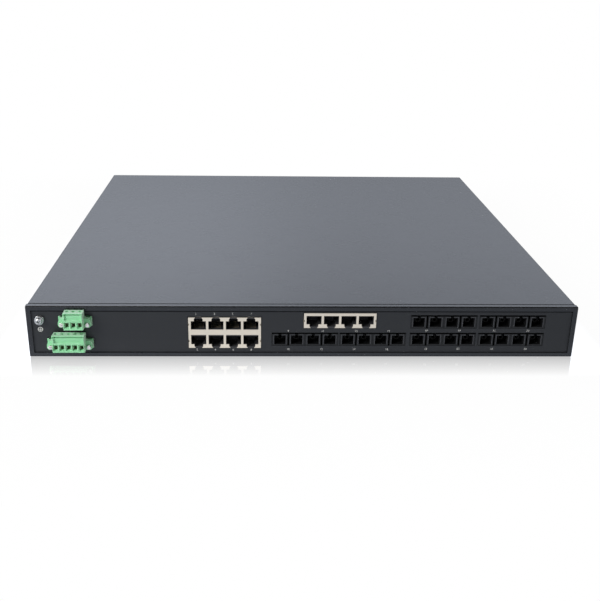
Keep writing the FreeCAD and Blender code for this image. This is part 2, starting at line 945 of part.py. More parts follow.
def earth_terminal():
    """Pan head screw with a split washer between two flat washers, in a nut behind the panel."""
    stack = panel_front
    x = dim.earth_x
    z = dim.earth_z
    flat = new_body("earth_flat_washer")
    spring = new_body("earth_spring_washer")
    inner_face = stack - dim.earth_washer
    spring_face = inner_face - dim.earth_spring
    outer_face = spring_face - dim.earth_washer
    add(flat, "XZ", inner_face, stack, small_round(x, z, dim.earth_washer_radius))
    add(flat, "XZ", outer_face, spring_face, small_round(x, z, dim.earth_washer_radius))
    hole = small_round(x, z, dim.screw_hole_radius)
    cut(flat, "XZ", outer_face - dim.overcut, stack + dim.overcut, hole)
    add(spring, "XZ", spring_face, inner_face, small_round(x, z, dim.earth_spring_radius))
    cut(spring, "XZ", outer_face, stack, hole)
    split_high = z + dim.earth_spring_radius + dim.overcut
    split = rectangle(x - dim.earth_spring_cut / 2, x + dim.earth_spring_cut / 2, z, split_high)
    cut(spring, "XZ", outer_face, stack, split)

    screw = new_body("earth_screw")
    head_face = outer_face - dim.earth_head
    crown_root = head_face + dim.earth_crown
    head = small_round(x, z, dim.earth_head_radius)
    add(screw, "XZ", crown_root, outer_face, head)
    add(screw, "XZ", head_face, crown_root, head, taper=dim.earth_crown_angle)
    nut_back = panel_back + dim.earth_nut
    screw_end = nut_back + dim.earth_screw_end
    add(screw, "XZ", outer_face, screw_end, small_round(x, z, dim.screw_shank_radius))
    arm = dim.earth_recess / 2
    slit = dim.earth_recess_width / 2
    cross = polygon(
        [
            (x - arm, z - slit),
            (x - slit, z - slit),
            (x - slit, z - arm),
            (x + slit, z - arm),
            (x + slit, z - slit),
            (x + arm, z - slit),
            (x + arm, z + slit),
            (x + slit, z + slit),
            (x + slit, z + arm),
            (x - slit, z + arm),
            (x - slit, z + slit),
            (x - arm, z + slit),
        ]
    )
    cut(screw, "XZ", head_face - dim.bite, head_face + dim.earth_recess_depth, cross)

    nut = new_body("earth_nut")
    add(nut, "XZ", panel_back, nut_back, hexagon(x, z, dim.earth_nut_radius))
    cut(nut, "XZ", panel_front, screw_end, small_round(x, z, dim.screw_tapped_radius))


def port_outline(x, sill, upward, reach):
    """Mouth of a copper port: contact sill, straight sides and the stepped notch for the latch."""
    side = dim.mouth_width / 2
    step = dim.latch_wide / 2
    tip = dim.latch_narrow / 2
    shoulder = sill + upward * dim.mouth_height
    neck = shoulder + upward * dim.latch_step
    end = sill + upward * reach
    return polygon(
        [
            (x - side, sill),
            (x + side, sill),
            (x + side, shoulder),
            (x + step, shoulder),
            (x + step, neck),
            (x + tip, end),
            (x - tip, end),
            (x - step, neck),
            (x - step, shoulder),
            (x - side, shoulder),
        ]
    )


def port_places(centre):
    middle = (PORT_COLUMNS - 1) / 2
    return [centre + (n - middle) * dim.port_pitch for n in range(PORT_COLUMNS)]


def jack(name, centre, low, high, depth, foot, rows):
    """Shielded jack of four columns. Each row is its sill height and the way its latch points."""
    left = centre - jack_half
    right = centre + jack_half
    rear = shield_front + depth
    ahead = shield_front - dim.overcut
    skin = dim.shield_gauge
    columns = port_places(centre)

    shield = new_body(f"{name}_shield")
    add(shield, "XZ", shield_front, rear, rectangle(left, right, low, high))
    hollow = rectangle(left + skin, right - skin, shield_front + skin, rear - skin)
    cut(shield, "XY", low - dim.overcut, high - skin, hollow)
    cut_reach = dim.latch_reach + dim.latch_overcut
    mouths = [port_outline(x, sill, upward, cut_reach) for sill, upward in rows for x in columns]
    cut(shield, "XZ", ahead, shield_front + dim.shield_cut, *mouths)
    fingers = []
    for sill, upward in rows:
        height = sill + upward * dim.finger_rise
        for x in (left, right):
            fingers.append(centred(x, height, dim.finger_width * 2, dim.finger_height))
    cut(shield, "XZ", ahead, shield_front + dim.shield_cut, *fingers)

    housing = new_body(f"{name}_housing")
    inset = skin + dim.jack_fit
    face = shield_front + inset
    block_high = high - inset
    block_back = rear - inset
    add(housing, "XZ", face, block_back, rectangle(left + inset, right - inset, low, block_high))
    if foot.value < low.value:
        pedestal = rectangle(left + inset, right - inset, foot, low)
        add(housing, "XZ", panel_back + dim.cutout_gap, block_back, pedestal)
    inner_reach = dim.latch_reach - dim.latch_wall
    cavities = [port_outline(x, sill, upward, inner_reach) for sill, upward in rows for x in columns]
    cut(housing, "XZ", ahead, shield_front + dim.jack_cavity, *cavities)

    contacts = new_body(f"{name}_contacts")
    for sill, upward in rows:
        start = shield_front + dim.contact_start
        end = shield_front + dim.contact_end
        crest = sill + upward * dim.contact_rise
        under = crest - upward * dim.contact_gauge
        wire = polygon(
            [
                (start, sill),
                (start + dim.contact_gauge * 2, sill),
                (end, under),
                (end, crest),
            ]
        )
        first = columns[0] - dim.contact_pitch * (PORT_CONTACTS - 1) / 2 - dim.contact_width / 2
        single = add(contacts, "YZ", first, first + dim.contact_width, wire)
        repeat_grid(
            contacts, single, "X", dim.contact_pitch, PORT_CONTACTS, dim.port_pitch, PORT_COLUMNS
        )


def fibre_transceiver(number, x, socket_z, board_z):
    """Duplex transceiver: split nose with two square sockets, and a lidded body on the board."""
    body = new_body(f"fibre_transceiver_{number}")
    ahead = nose_front - dim.overcut
    nose_back = nose_front + dim.nose_length
    body_back = nose_back + dim.transceiver_body_length
    nose_low = socket_z - nose_height / 2
    nose_high = socket_z + nose_height / 2
    add(
        body,
        "XZ",
        nose_front,
        nose_back,
        rectangle(x - nose_width / 2, x + nose_width / 2, nose_low, nose_high),
    )
    half = dim.transceiver_body_width / 2
    lid_inset = dim.transceiver_lid_inset
    lid_z = nose_high - dim.transceiver_lid
    add(body, "XZ", nose_back, body_back, rectangle(x - half, x + half, board_z, lid_z))
    lid = rectangle(
        x - half + lid_inset, x + half - lid_inset, nose_back, body_back - lid_inset
    )
    add(body, "XY", lid_z, nose_high, lid)
    centres = [x + side * dim.socket_pitch / 2 for side in SIDES]
    sockets = [centred(c, socket_z, dim.socket_width, dim.socket_height) for c in centres]
    cut(body, "XZ", ahead, nose_front + dim.socket_depth, *sockets)
    above = nose_high + dim.overcut
    below = nose_low - dim.overcut
    split = rectangle(x - dim.socket_split / 2, x + dim.socket_split / 2, below, above)
    cut(body, "XZ", ahead, nose_front + dim.socket_split_depth, split)
    key_low = socket_z + dim.socket_height / 2 - dim.bite
    keys = [
        rectangle(c - dim.socket_key / 2, c + dim.socket_key / 2, key_low, above)
        for c in centres
    ]
    cut(body, "XZ", ahead, nose_front + dim.socket_key_depth, *keys)


def optical_sleeves():
    """Sleeve at the bottom of each fibre socket that centres the ferrule."""
    body = new_body("optical_sleeves")
    floor = nose_front + dim.socket_depth
    mouth = floor - dim.sleeve_length
    for number, x, socket_z, board_z in fibre_places():
        centres = [x + side * dim.socket_pitch / 2 for side in SIDES]
        barrels = [
            many_sided(centre, socket_z, dim.sleeve_radius, SLEEVE_SIDES) for centre in centres
        ]
        bores = [many_sided(centre, socket_z, dim.sleeve_bore, SLEEVE_SIDES) for centre in centres]
        add(body, "XZ", mouth, floor, *barrels, *bores)


def terminal_plug(name, pins, bottom):
    """Moulded plug: screw wells on top, wire funnels in front, flanges and a tongue at the back."""
    body = new_body(f"{name}_plug")
    centre = plug_centre(pins)
    half = dim.pin_pitch * (pins / 2)
    left = centre - half
    right = centre + half
    high = bottom + dim.plug_height
    ahead = dim.plug_front - dim.overcut
    add(body, "XZ", dim.plug_front, dim.plug_shoulder, rectangle(left, right, bottom, high))

    def on_front_edge(box):
        return near(box.YMax, dim.plug_front) and not near(box.ZMax, bottom)

    bevel_edges(body, dim.plug_bevel, on_front_edge)
    tongue = rectangle(
        left + dim.plug_tongue_inset,
        right - dim.plug_tongue_inset,
        bottom + dim.plug_tongue_low,
        bottom + dim.plug_tongue_high,
    )
    add(body, "XZ", dim.plug_shoulder, dim.plug_tongue_back, tongue)
    wings = []
    for side, root in ((-1, left), (1, right)):
        wings.append(
            polygon(
                [
                    (root - side * dim.bite, bottom + dim.wing_low),
                    (root + side * (dim.wing_reach - dim.wing_corner), bottom + dim.wing_low),
                    (root + side * dim.wing_reach, bottom + dim.wing_low + dim.wing_corner),
                    (root + side * dim.wing_reach, bottom + dim.wing_side),
                    (root + side * dim.wing_top_reach, bottom + dim.wing_top),
                    (root - side * dim.bite, bottom + dim.wing_top),
                ]
            )
        )
    add(body, "XZ", dim.wing_front, dim.plug_shoulder, *wings)
    screw_z = bottom + dim.wing_screw_rise
    screw_holes = [small_round(x, screw_z, dim.wing_screw_hole) for x in wing_places(pins)]
    cut(body, "XZ", dim.plug_front, dim.plug_tongue_back, *screw_holes)
    field = rectangle(
        left + dim.plug_field_side,
        right - dim.plug_field_side,
        bottom + dim.plug_field_low,
        high - dim.plug_field_top,
    )
    cut(body, "XZ", ahead, dim.plug_front + dim.plug_field_depth, field)
    places = pin_places(pins)
    well_floor = high - dim.well_depth
    wells = [small_round(x, dim.well_y, dim.well_radius) for x in places]
    cut(body, "XY", well_floor - dim.bite, high + dim.overcut, *wells)
    chambers = [
        rectangle(
            x - dim.chamber_width / 2, x + dim.chamber_width / 2, dim.chamber_front, dim.chamber_back
        )
        for x in places
    ]
    cut(body, "XY", bottom + dim.chamber_low, well_floor, *chambers)
    entry_z = bottom + dim.entry_rise
    funnels = [centred(x, entry_z, dim.funnel_width, dim.funnel_height) for x in places]
    funnel_floor = dim.plug_front + dim.funnel_depth
    cut(body, "XZ", dim.plug_front, funnel_floor, *funnels, taper=dim.funnel_angle)
    entries = [centred(x, entry_z, dim.entry_width, dim.entry_height) for x in places]
    cut(body, "XZ", dim.plug_front, dim.chamber_front + dim.bite, *entries)
    pin_z = bottom + dim.pin_rise
    slots = [centred(x, pin_z, dim.pin_slot_width, dim.pin_slot_height) for x in places]
    cut(body, "XZ", dim.pin_slot_end, dim.plug_tongue_back + dim.overcut, *slots)


def terminal_metal(name, pins, bottom):
    """Clamp cages and clamp screws in the plug, and the two screws in its flanges."""
    places = pin_places(pins)
    high = bottom + dim.plug_height
    cages = new_body(f"{name}_clamp_cages")
    outer = [
        rectangle(x - dim.cage_width / 2, x + dim.cage_width / 2, dim.cage_front, dim.cage_back)
        for x in places
    ]
    cage_low = bottom + dim.cage_low
    cage_high = bottom + dim.cage_high
    add(cages, "XY", cage_low, cage_high, *outer)
    openings = [
        centred(x, bottom + dim.entry_rise, dim.cage_opening, dim.entry_height) for x in places
    ]
    cut(cages, "XZ", dim.chamber_front, dim.chamber_back, *openings)

    clamps = new_body(f"{name}_clamp_screws")
    head_top = high - dim.clamp_head_top
    heads = [small_round(x, dim.well_y, dim.clamp_head_radius) for x in places]
    add(clamps, "XY", cage_high, head_top, *heads)
    slit_length = dim.clamp_head_radius * 2 + dim.overcut
    slits = [centred(x, dim.well_y, slit_length, dim.clamp_slot) for x in places]
    cut(clamps, "XY", head_top - dim.clamp_slot_depth, high, *slits)

    screws = new_body(f"{name}_flange_screws")
    screw_z = bottom + dim.wing_screw_rise
    wings = wing_places(pins)
    head_face = dim.wing_front - dim.wing_screw_head
    caps = [small_round(x, screw_z, dim.wing_screw_head_radius) for x in wings]
    add(screws, "XZ", head_face, dim.wing_front, *caps)
    shanks = [small_round(x, screw_z, dim.wing_screw_radius) for x in wings]
    add(screws, "XZ", dim.wing_front, dim.wing_screw_end, *shanks)
    groove_length = dim.wing_screw_head_radius * 2 + dim.overcut
    grooves = [centred(x, screw_z, groove_length, dim.wing_screw_slot) for x in wings]
    cut(screws, "XZ", dim.plug_front, head_face + dim.wing_screw_slot_depth, *grooves)


def terminal_header(name, pins, bottom):
    """Shrouded header through the panel, with flange ends, and its square pins."""
    body = new_body(f"{name}_header")
    centre = plug_centre(pins)
    half = header_half(pins)
    low = bottom + dim.header_low
    high = bottom + dim.header_high
    ahead = dim.header_front - dim.overcut
    add(
        body,
        "XZ",
        dim.header_front,
        dim.header_back,
        rectangle(centre - half, centre + half, low, high),
    )
    inner_half = dim.pin_pitch * (pins / 2) - dim.plug_tongue_inset + dim.header_fit
    shroud = rectangle(
        centre - inner_half,
        centre + inner_half,
        bottom + dim.plug_tongue_low - dim.header_fit,
        bottom + dim.plug_tongue_high + dim.header_fit,
    )
    cut(body, "XZ", ahead, dim.header_floor, shroud)
    wings = wing_places(pins)
    screw_z = bottom + dim.wing_screw_rise
    cut(
        body,
        "XZ",
        ahead,
        dim.wing_screw_end + dim.fit_gap,
        *[small_round(x, screw_z, dim.wing_screw_hole) for x in wings],
    )
    notches = [centred(x, high, dim.header_slot, dim.header_slot) for x in wings]
    cut(body, "XZ", ahead, dim.header_front + dim.header_slot_depth, *notches)
    places = pin_places(pins)
    pin_z = bottom + dim.pin_rise
    holes = [centred(x, pin_z, dim.pin_size, dim.pin_size) for x in places]
    cut(body, "XZ", dim.pin_tip, dim.pin_tail, *holes)

    contacts = new_body(f"{name}_header_pins")
    add(contacts, "XZ", dim.pin_tip, dim.pin_tail, *holes)


terminal_board_back = dim.header_back + dim.board


def main_screw_places():
    inset = dim.board_screw_inset
    middle_x = (dim.main_left + dim.main_right) / 2
    return [
        (dim.main_left + inset, dim.main_screw_left_y),
        (dim.main_left + inset, dim.main_back - inset),
        (middle_x, dim.main_screw_front_y),
        (middle_x, dim.main_back - inset),
        (dim.main_right - inset, dim.main_screw_front_y),
        (dim.main_right - inset, dim.main_back - inset),
    ]


def psu_screw_places():
    inset = dim.board_screw_inset
    return [
        (x, y)
        for x in (dim.psu_left + inset, dim.psu_right - inset)
        for y in (dim.psu_front + inset, dim.psu_back - inset)
    ]


def spacer_places():
    inset = dim.board_screw_inset
    middle_x = (dim.mezzanine_left + dim.mezzanine_right) / 2
    rear_row = dim.mezzanine_back - inset
    return [
        (x, y)
        for x in (dim.mezzanine_left + inset, middle_x, dim.mezzanine_right - inset)
        for y in (rear_row, rear_row - dim.spacer_row_pitch)
    ]


def circuit_boards():
    """Main board, the mezzanine above it, the supply board and the upright terminal board."""
    under = main_top - dim.board
    main = new_body("main_board")
    outline = rectangle(dim.main_left, dim.main_right, dim.board_front, dim.main_back)
    add(main, "XY", under, main_top, outline)

    mezzanine = new_body("mezzanine_board")
    outline = rectangle(
        dim.mezzanine_left, dim.mezzanine_right, dim.board_front, dim.mezzanine_back
    )
    add(mezzanine, "XY", mezzanine_top - dim.board, mezzanine_top, outline)

    supply = new_body("psu_board")
    outline = rectangle(dim.psu_left, dim.psu_right, dim.psu_front, dim.psu_back)
    add(supply, "XY", under, main_top, outline)

    upright = new_body("terminal_board")
    outline = rectangle(
        dim.terminal_board_left,
        dim.terminal_board_right,
        dim.terminal_board_low,
        dim.terminal_board_high,
    )
    add(upright, "XZ", dim.header_back, terminal_board_back, outline)
    holes = []
    for pins, bottom in TERMINALS.values():
        for x in pin_places(pins):
            holes.append(centred(x, bottom + dim.pin_rise, dim.pin_hole, dim.pin_hole))
    cut(upright, "XZ", dim.header_floor, dim.pin_tail, *holes)


def board_fasteners():
    """Hexagonal standoffs under the boards, spacers under the mezzanine, and the screw heads."""
    low_places = main_screw_places() + psu_screw_places()
    high_places = spacer_places()
    standoffs = new_body("board_standoffs")
    posts = [hexagon(x, y, dim.standoff_radius) for x, y in low_places]
    add(standoffs, "XY", dim.gauge, main_top - dim.board, *posts)

    spacers = new_body("mezzanine_spacers")
    posts = [hexagon(x, y, dim.spacer_radius) for x, y in high_places]
    add(spacers, "XY", main_top, mezzanine_top - dim.board, *posts)

    screws = new_body("board_screws")
    for places, seat in ((low_places, main_top), (high_places, mezzanine_top)):
        heads = [hexagon(x, y, dim.screw_head_radius) for x, y in places]
        add(screws, "XY", seat, seat + dim.screw_head, *heads)


def board_parts():
    """Switch chip with its heat sink, port chips, magnetics, capacitors and connectors."""
    chip = new_body("switch_chip")
    chip_high = main_top + dim.chip_height
    add(chip, "XY", main_top, chip_high, centred(dim.chip_x, dim.chip_y, dim.chip_size, dim.chip_size))

    sink = new_body("switch_heat_sink")
    add(
        sink,
        "XY",
        chip_high,
        chip_high + dim.sink_base,
        centred(dim.chip_x, dim.chip_y, dim.sink_size, dim.sink_size),
    )
    fin_left = dim.chip_x - dim.sink_size / 2
    fin = add(
        sink,
        "XY",
        chip_high + dim.sink_base,
        chip_high + dim.sink_height,
        rectangle(
            fin_left,
            fin_left + dim.sink_fin,
            dim.chip_y - dim.sink_size / 2,
            dim.chip_y + dim.sink_size / 2,
        ),
    )
    repeat(sink, fin, "X", dim.sink_fin_pitch, SINK_FINS)

    phys = new_body("phy_chips")
    chips = [
        centred(x, dim.phy_y, dim.phy_size, dim.phy_size)
        for x in (dim.jack_double_x, dim.phy_middle_x, dim.phy_right_x)
    ]
    add(phys, "XY", main_top, main_top + dim.phy_height, *chips)

    magnetics = new_body("port_magnetics")
    for centre, depth, seat in (
        (dim.jack_double_x, dim.jack_double_depth, main_top),
        (dim.jack_single_x, dim.jack_single_depth, mezzanine_top),
    ):
        y = shield_front + depth + dim.magnetic_gap + dim.magnetic_width / 2
        blocks = [
            centred(x, y, dim.magnetic_length, dim.magnetic_width) for x in port_places(centre)
        ]
        add(magnetics, "XY", seat, seat + dim.magnetic_height, *blocks)

    capacitors = new_body("capacitors")
    outline = small_round(dim.capacitor_x, dim.capacitor_y, dim.capacitor_radius)
    large = add(capacitors, "XY", main_top, main_top + dim.capacitor_height, outline)
    repeat(capacitors, large, "Y", dim.capacitor_pitch, LARGE_CAPACITORS)
    outline = small_round(dim.small_capacitor_x, dim.small_capacitor_y, dim.small_capacitor_radius)
    small = add(capacitors, "XY", main_top, main_top + dim.small_capacitor_height, outline)
    repeat(capacitors, small, "Y", dim.small_capacitor_pitch, SMALL_CAPACITORS)

    stack = new_body("mezzanine_connector")
    add(
        stack,
        "XY",
        main_top,
        mezzanine_top - dim.board,
        rectangle(
            dim.stack_left,
            dim.stack_left + dim.stack_length,
            dim.stack_y - dim.stack_width / 2,
            dim.stack_y + dim.stack_width / 2,
        ),
    )

    links = new_body("board_link_connectors")
    bridge = rectangle(
        dim.link_left, dim.link_right, dim.link_front, dim.link_front + dim.link_length
    )
    add(links, "XY", main_top, main_top + dim.link_height, bridge)
    riser_centre = (dim.terminal_board_left + dim.terminal_board_right) / 2
    riser = rectangle(
        riser_centre - dim.riser_length / 2,
        riser_centre + dim.riser_length / 2,
        terminal_board_back,
        dim.psu_front + dim.riser_depth,
    )
    add(links, "XY", main_top, main_top + dim.riser_height, riser)


def supply_parts():
    """Transformer, choke and heat sink on the supply board."""
    transformer = new_body("psu_transformer")
    x = dim.transformer_x
    y = dim.transformer_y
    high = main_top + dim.transformer_height
    add(
        transformer,
        "XY",
        main_top,
        high - dim.transformer_step,
        centred(x, y, dim.transformer_width, dim.transformer_length),
    )
    add(
        transformer,
        "XY",
        high - dim.transformer_step,
        high,
        centred(x, y, dim.transformer_width, dim.transformer_core),
    )

    choke = new_body("psu_choke")
    ring = small_round(dim.choke_x, dim.choke_y, dim.choke_radius)
    add(choke, "XY", main_top, main_top + dim.choke_height, ring)
    bore = small_round(dim.choke_x, dim.choke_y, dim.choke_bore)
    cut(choke, "XY", dim.gauge, top, bore)

    sink = new_body("psu_heat_sink")
    left = dim.psu_sink_left
    profile = polygon(
        [
            (left, main_top),
            (left + dim.psu_sink_foot, main_top),
            (left + dim.psu_sink_foot, main_top + dim.psu_sink_plate),
            (left + dim.psu_sink_plate, main_top + dim.psu_sink_plate),
            (left + dim.psu_sink_plate, main_top + dim.psu_sink_height),
            (left, main_top + dim.psu_sink_height),
        ]
    )
    add(sink, "XZ", dim.psu_sink_front, dim.psu_sink_front + dim.psu_sink_length, profile)


def build():
    chassis_base()
    top_cover()
    front_panel()
    cover_side_screws()
    cover_rear_screws()
    ear_nuts()
    earth_terminal()
    jack(
        "jack_2x4",
        dim.jack_double_x,
        double_low,
        double_high,
        dim.jack_double_depth,
        main_top,
        [(double_lower_sill, -1), (double_upper_sill, 1)],
    )
    jack(
        "jack_1x4",
        dim.jack_single_x,
        single_low,
        single_high,
        dim.jack_single_depth,
        mezzanine_top,
        [(single_sill, -1)],
    )
    for place in fibre_places():
        fibre_transceiver(*place)
    optical_sleeves()
    for name, (pins, bottom) in TERMINALS.items():
        terminal_plug(name, pins, bottom)
        terminal_metal(name, pins, bottom)
        terminal_header(name, pins, bottom)
    circuit_boards()
    board_fasteners()
    board_parts()
    supply_parts()


def check_and_export():
    """Stop on any failed object or bad shape, then write one STEP file for each sub-part."""
    doc.recompute()
    for thing in doc.Objects:
        if "Invalid" in thing.State or "Error" in thing.State:
            raise RuntimeError(f"{thing.Label} failed: {thing.State}")
    bodies = [thing for thing in doc.Objects if thing.TypeId == "PartDesign::Body"]
    for body in bodies:
        if body.Shape.isNull() or not body.Shape.isValid():
            raise RuntimeError(f"{body.Label} has no valid shape")
    os.makedirs("parts", exist_ok=True)
    for body in bodies:
        body.Shape.exportStep(f"parts/{body.Label}.step")
        print(f"{body.Label}: {len(body.Shape.Solids)} solids, {body.Shape.Volume:.1f} mm3")


build()
check_and_export()
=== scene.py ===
"""Looks of a rack mount ethernet switch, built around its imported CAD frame."""
import math

import bmesh
import bpy
from bpy.props import FloatProperty, FloatVectorProperty, PointerProperty
from mathutils import Matrix, Vector


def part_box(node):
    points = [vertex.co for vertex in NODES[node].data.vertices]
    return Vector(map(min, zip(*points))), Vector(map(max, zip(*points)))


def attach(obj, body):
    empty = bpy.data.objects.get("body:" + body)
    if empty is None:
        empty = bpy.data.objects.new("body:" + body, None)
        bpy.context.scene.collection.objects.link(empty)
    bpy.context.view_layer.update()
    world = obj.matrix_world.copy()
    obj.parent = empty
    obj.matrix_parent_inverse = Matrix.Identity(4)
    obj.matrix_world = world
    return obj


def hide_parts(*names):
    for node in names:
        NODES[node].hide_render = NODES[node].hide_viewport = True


bl_info = {
    "name": "Rack Switch Looks",
    "version": (1, 0, 0),
    "blender": (4, 5, 0),
    "location": "View3D > Sidebar > Rack Switch",
    "description": "Paint, ports, terminals, fasteners, print and studio of a rack mount switch",
    "category": "Object",
}

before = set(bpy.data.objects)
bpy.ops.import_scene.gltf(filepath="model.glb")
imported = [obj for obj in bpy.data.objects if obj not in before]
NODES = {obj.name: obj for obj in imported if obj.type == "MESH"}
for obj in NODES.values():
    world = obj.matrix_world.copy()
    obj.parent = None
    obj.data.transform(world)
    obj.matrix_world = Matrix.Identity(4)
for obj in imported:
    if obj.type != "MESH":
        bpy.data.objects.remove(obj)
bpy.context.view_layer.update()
MM = 0.001

# Places of the pieces, in millimetres in the frame of the CAD model
PANEL_FRONT = -218.8
LOWER_FIBRE = (-12.3, 14.5, 42.5, 69.3)
STACKED_FIBRE = (99.4, 126.2, 155.0, 181.8)
LOW_SOCKET_Z = 14.85
HIGH_SOCKET_Z = 30.25
SOCKET_SIDE = 6.75
SOCKET_WIDTH = 9.4
SOCKET_HEIGHT = 7.9
SOCKET_KEY = 2.7
NOSE_FRONT = -218.6
SLEEVE_MOUTH = -212.8
SLEEVE_LENGTH = 5.2
EARTH = sum(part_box("earth_flat_washer"), Vector()) / 2 / MM
TERMINAL_PINS = {"power": 5, "alarm": 3}
FIBRE_PORTS = (10, 12, 14, 16, 17, 18, 19, 20, 21, 22, 23, 24)

# Turns that bring a piece's own upward axis to face a side of the object
FACE_FRONT = Matrix.Rotation(math.radians(90), 4, "X")
FACE_BACK = Matrix.Rotation(math.radians(-90), 4, "X")
FACE_RIGHT = Matrix.Rotation(math.radians(90), 4, "Y")
FACE_LEFT = Matrix.Rotation(math.radians(-90), 4, "Y")
FACE_UP = Matrix.Identity(4)


# What a user would change


def colour_setting(name, description, default):
    return FloatVectorProperty(
        name=name, description=description, default=default, size=3, min=0, max=1, subtype="COLOR"
    )


def length_setting(name, description, default):
    return FloatProperty(
        name=name, description=description, default=default, min=0, unit="LENGTH", subtype="DISTANCE"
    )


def share_setting(name, description, default):
    return FloatProperty(
        name=name, description=description, default=default, min=0, max=1, subtype="FACTOR"
    )


class CaseSettings(bpy.types.PropertyGroup):
    """Paint of the folded case and of the front panel."""

    paint: colour_setting("Case paint", "Powder coat of the tray and the cover", (0.0078, 0.008, 0.0088))
    panel: colour_setting("Panel paint", "Matt paint of the front panel", (0.0078, 0.008, 0.0086))
    roughness: share_setting("Paint roughness", "Mean roughness of the powder coat", 0.27)
    # Lightened edges: a painted highlight along folds and cut edges, with some rubbed paint
    rub: share_setting("Edge light and wear", "Lightening of the paint along folds and cut edges", 0.05)
    dust: share_setting("Dust", "Dust that has settled on faces that look up", 0.2)


class PortSettings(bpy.types.PropertyGroup):
    """Copper and fibre ports, and the numbers beside them."""

    shield: colour_setting("Shield", "Tinned sheet round the copper ports", (0.82, 0.72, 0.57))
    housing: colour_setting("Jack housing", "Black plastic inside the copper ports", (0.03, 0.03, 0.033))
    nose: colour_setting("Fibre housing", "Dark plastic of the fibre ports", (0.007, 0.0072, 0.0078))
    # Rims lighter than the nose plastic: a painted highlight on the socket edges
    rim: colour_setting("Socket rims", "Moulded rims of the fibre sockets", (0.034, 0.035, 0.038))
    contact: colour_setting("Contacts", "Pale gilded spring contacts", (0.82, 0.72, 0.52))
    # Near black sleeves: painted shade deep inside the sockets
    sleeve: colour_setting("Fibre sleeves", "Sleeves that centre the fibre ends", (0.028, 0.027, 0.025))
    print_colour: colour_setting("Print", "White print on the front panel", (0.62, 0.62, 0.6))
    number_height: length_setting("Number height", "Height of a printed port number", 1.75 * MM)


class TerminalSettings(bpy.types.PropertyGroup):
    """Pluggable terminals and the metal in them."""

    plastic: colour_setting("Terminal plastic", "Green plastic of plugs and headers", (0.24, 0.63, 0.325))
    screw: colour_setting("Screws", "Bright zinc of the screws", (0.74, 0.71, 0.66))
    earth: colour_setting("Earth screw", "Duller zinc of the earth screw and washers", (0.5, 0.5, 0.49))
    brass: colour_setting("Clamps", "Nickelled brass of clamps and pins", (0.66, 0.6, 0.46))


class InsideSettings(bpy.types.PropertyGroup):
    """Boards and what they carry, seen only through the vents."""

    board: colour_setting("Circuit board", "Solder mask of the boards", (0.012, 0.105, 0.045))
    chip: colour_setting("Chips", "Moulded epoxy of the chips", (0.018, 0.018, 0.02))
    aluminium: colour_setting("Aluminium", "Heat sinks and capacitor cans", (0.62, 0.63, 0.65))
    ferrite: colour_setting("Ferrite", "Cores of the transformer and the choke", (0.05, 0.047, 0.044))


class StageSettings(bpy.types.PropertyGroup):
    """Floor, backdrop, lamps and camera."""

    floor: colour_setting("Floor", "Floor and backdrop", (0.86, 0.86, 0.86))
    sweep_radius: length_setting("Sweep radius", "Distance from the object to the backdrop", 4.0)
    sweep_height: length_setting("Sweep height", "Height of the backdrop", 2.4)
    sweep_bend: length_setting("Sweep bend", "Radius between the floor and the backdrop", 0.9)
    key_power: FloatProperty(name="Key", description="Lamp at the upper left", default=40, unit="POWER")
    fill_power: FloatProperty(name="Fill", description="Lamp at the upper right", default=8, unit="POWER")
    top_power: FloatProperty(name="Top", description="Lamp above and behind", default=5, unit="POWER")
    surround: FloatProperty(name="Surround", description="Level of the room's light", default=0.05, min=0)
    glow: colour_setting("Glow", "Cool light of the backdrop in glossy faces", (0.83, 0.885, 1.0))


SETTINGS = {
    "switch_case": CaseSettings,
    "switch_ports": PortSettings,
    "switch_terminals": TerminalSettings,
    "switch_inside": InsideSettings,
    "switch_stage": StageSettings,
}


# Shader nodes

# Grain: scale of the broad cloud as a share of the fine one, and depth of the bump in metres
BROAD_SHARE = 0.035
BUMP_DEPTH = 0.00004
# Dust: how closely it keeps to level faces, its share at the full setting, and its colour
DUST_FOCUS = 4.0
DUST_STRENGTH = 0.08
DUST_COLOUR = (0.3, 0.29, 0.27)
# Edges lightened by a painted highlight and by rubbed paint: contrast of the mask, and scale of the noise
# that breaks it up
EDGE_LIGHT_CONTRAST = 6.0
EDGE_LIGHT_SCALE = 220.0


def feed(tree, node, values):
    """Set or link the inputs of a node, by name or by number."""
    for name, value in values.items():
        if isinstance(value, bpy.types.NodeSocket):
            tree.links.new(value, node.inputs[name])
        else:
            node.inputs[name].default_value = value


def add_node(tree, kind, inputs=None, **settings):
    node = tree.nodes.new(kind)
    for name, value in settings.items():
        setattr(node, name, value)
    feed(tree, node, inputs or {})
    return node


def calculate(tree, operation, first, second=0.0, clamp=False):
    node = add_node(
        tree, "ShaderNodeMath", {0: first, 1: second}, operation=operation, use_clamp=clamp
    )
    return node.outputs[0]


def mix_colours(tree, share, first, second, blend="MIX"):
    node = add_node(
        tree, "ShaderNodeMix", {0: share, 6: first, 7: second}, data_type="RGBA", blend_type=blend
    )
    return node.outputs[2]


def opaque(colour):
    return (*colour, 1.0)


def new_group(name, inputs, outputs):
    """Empty shader group with the named inputs, given with their defaults, and value outputs."""
    group = bpy.data.node_groups.new(name, "ShaderNodeTree")
    for socket, default in inputs.items():
        made = group.interface.new_socket(socket, in_out="INPUT", socket_type="NodeSocketFloat")
        made.default_value = default
    for socket in outputs:
        group.interface.new_socket(socket, in_out="OUTPUT", socket_type="NodeSocketFloat")
    return group, group.nodes.new("NodeGroupInput"), group.nodes.new("NodeGroupOutput")


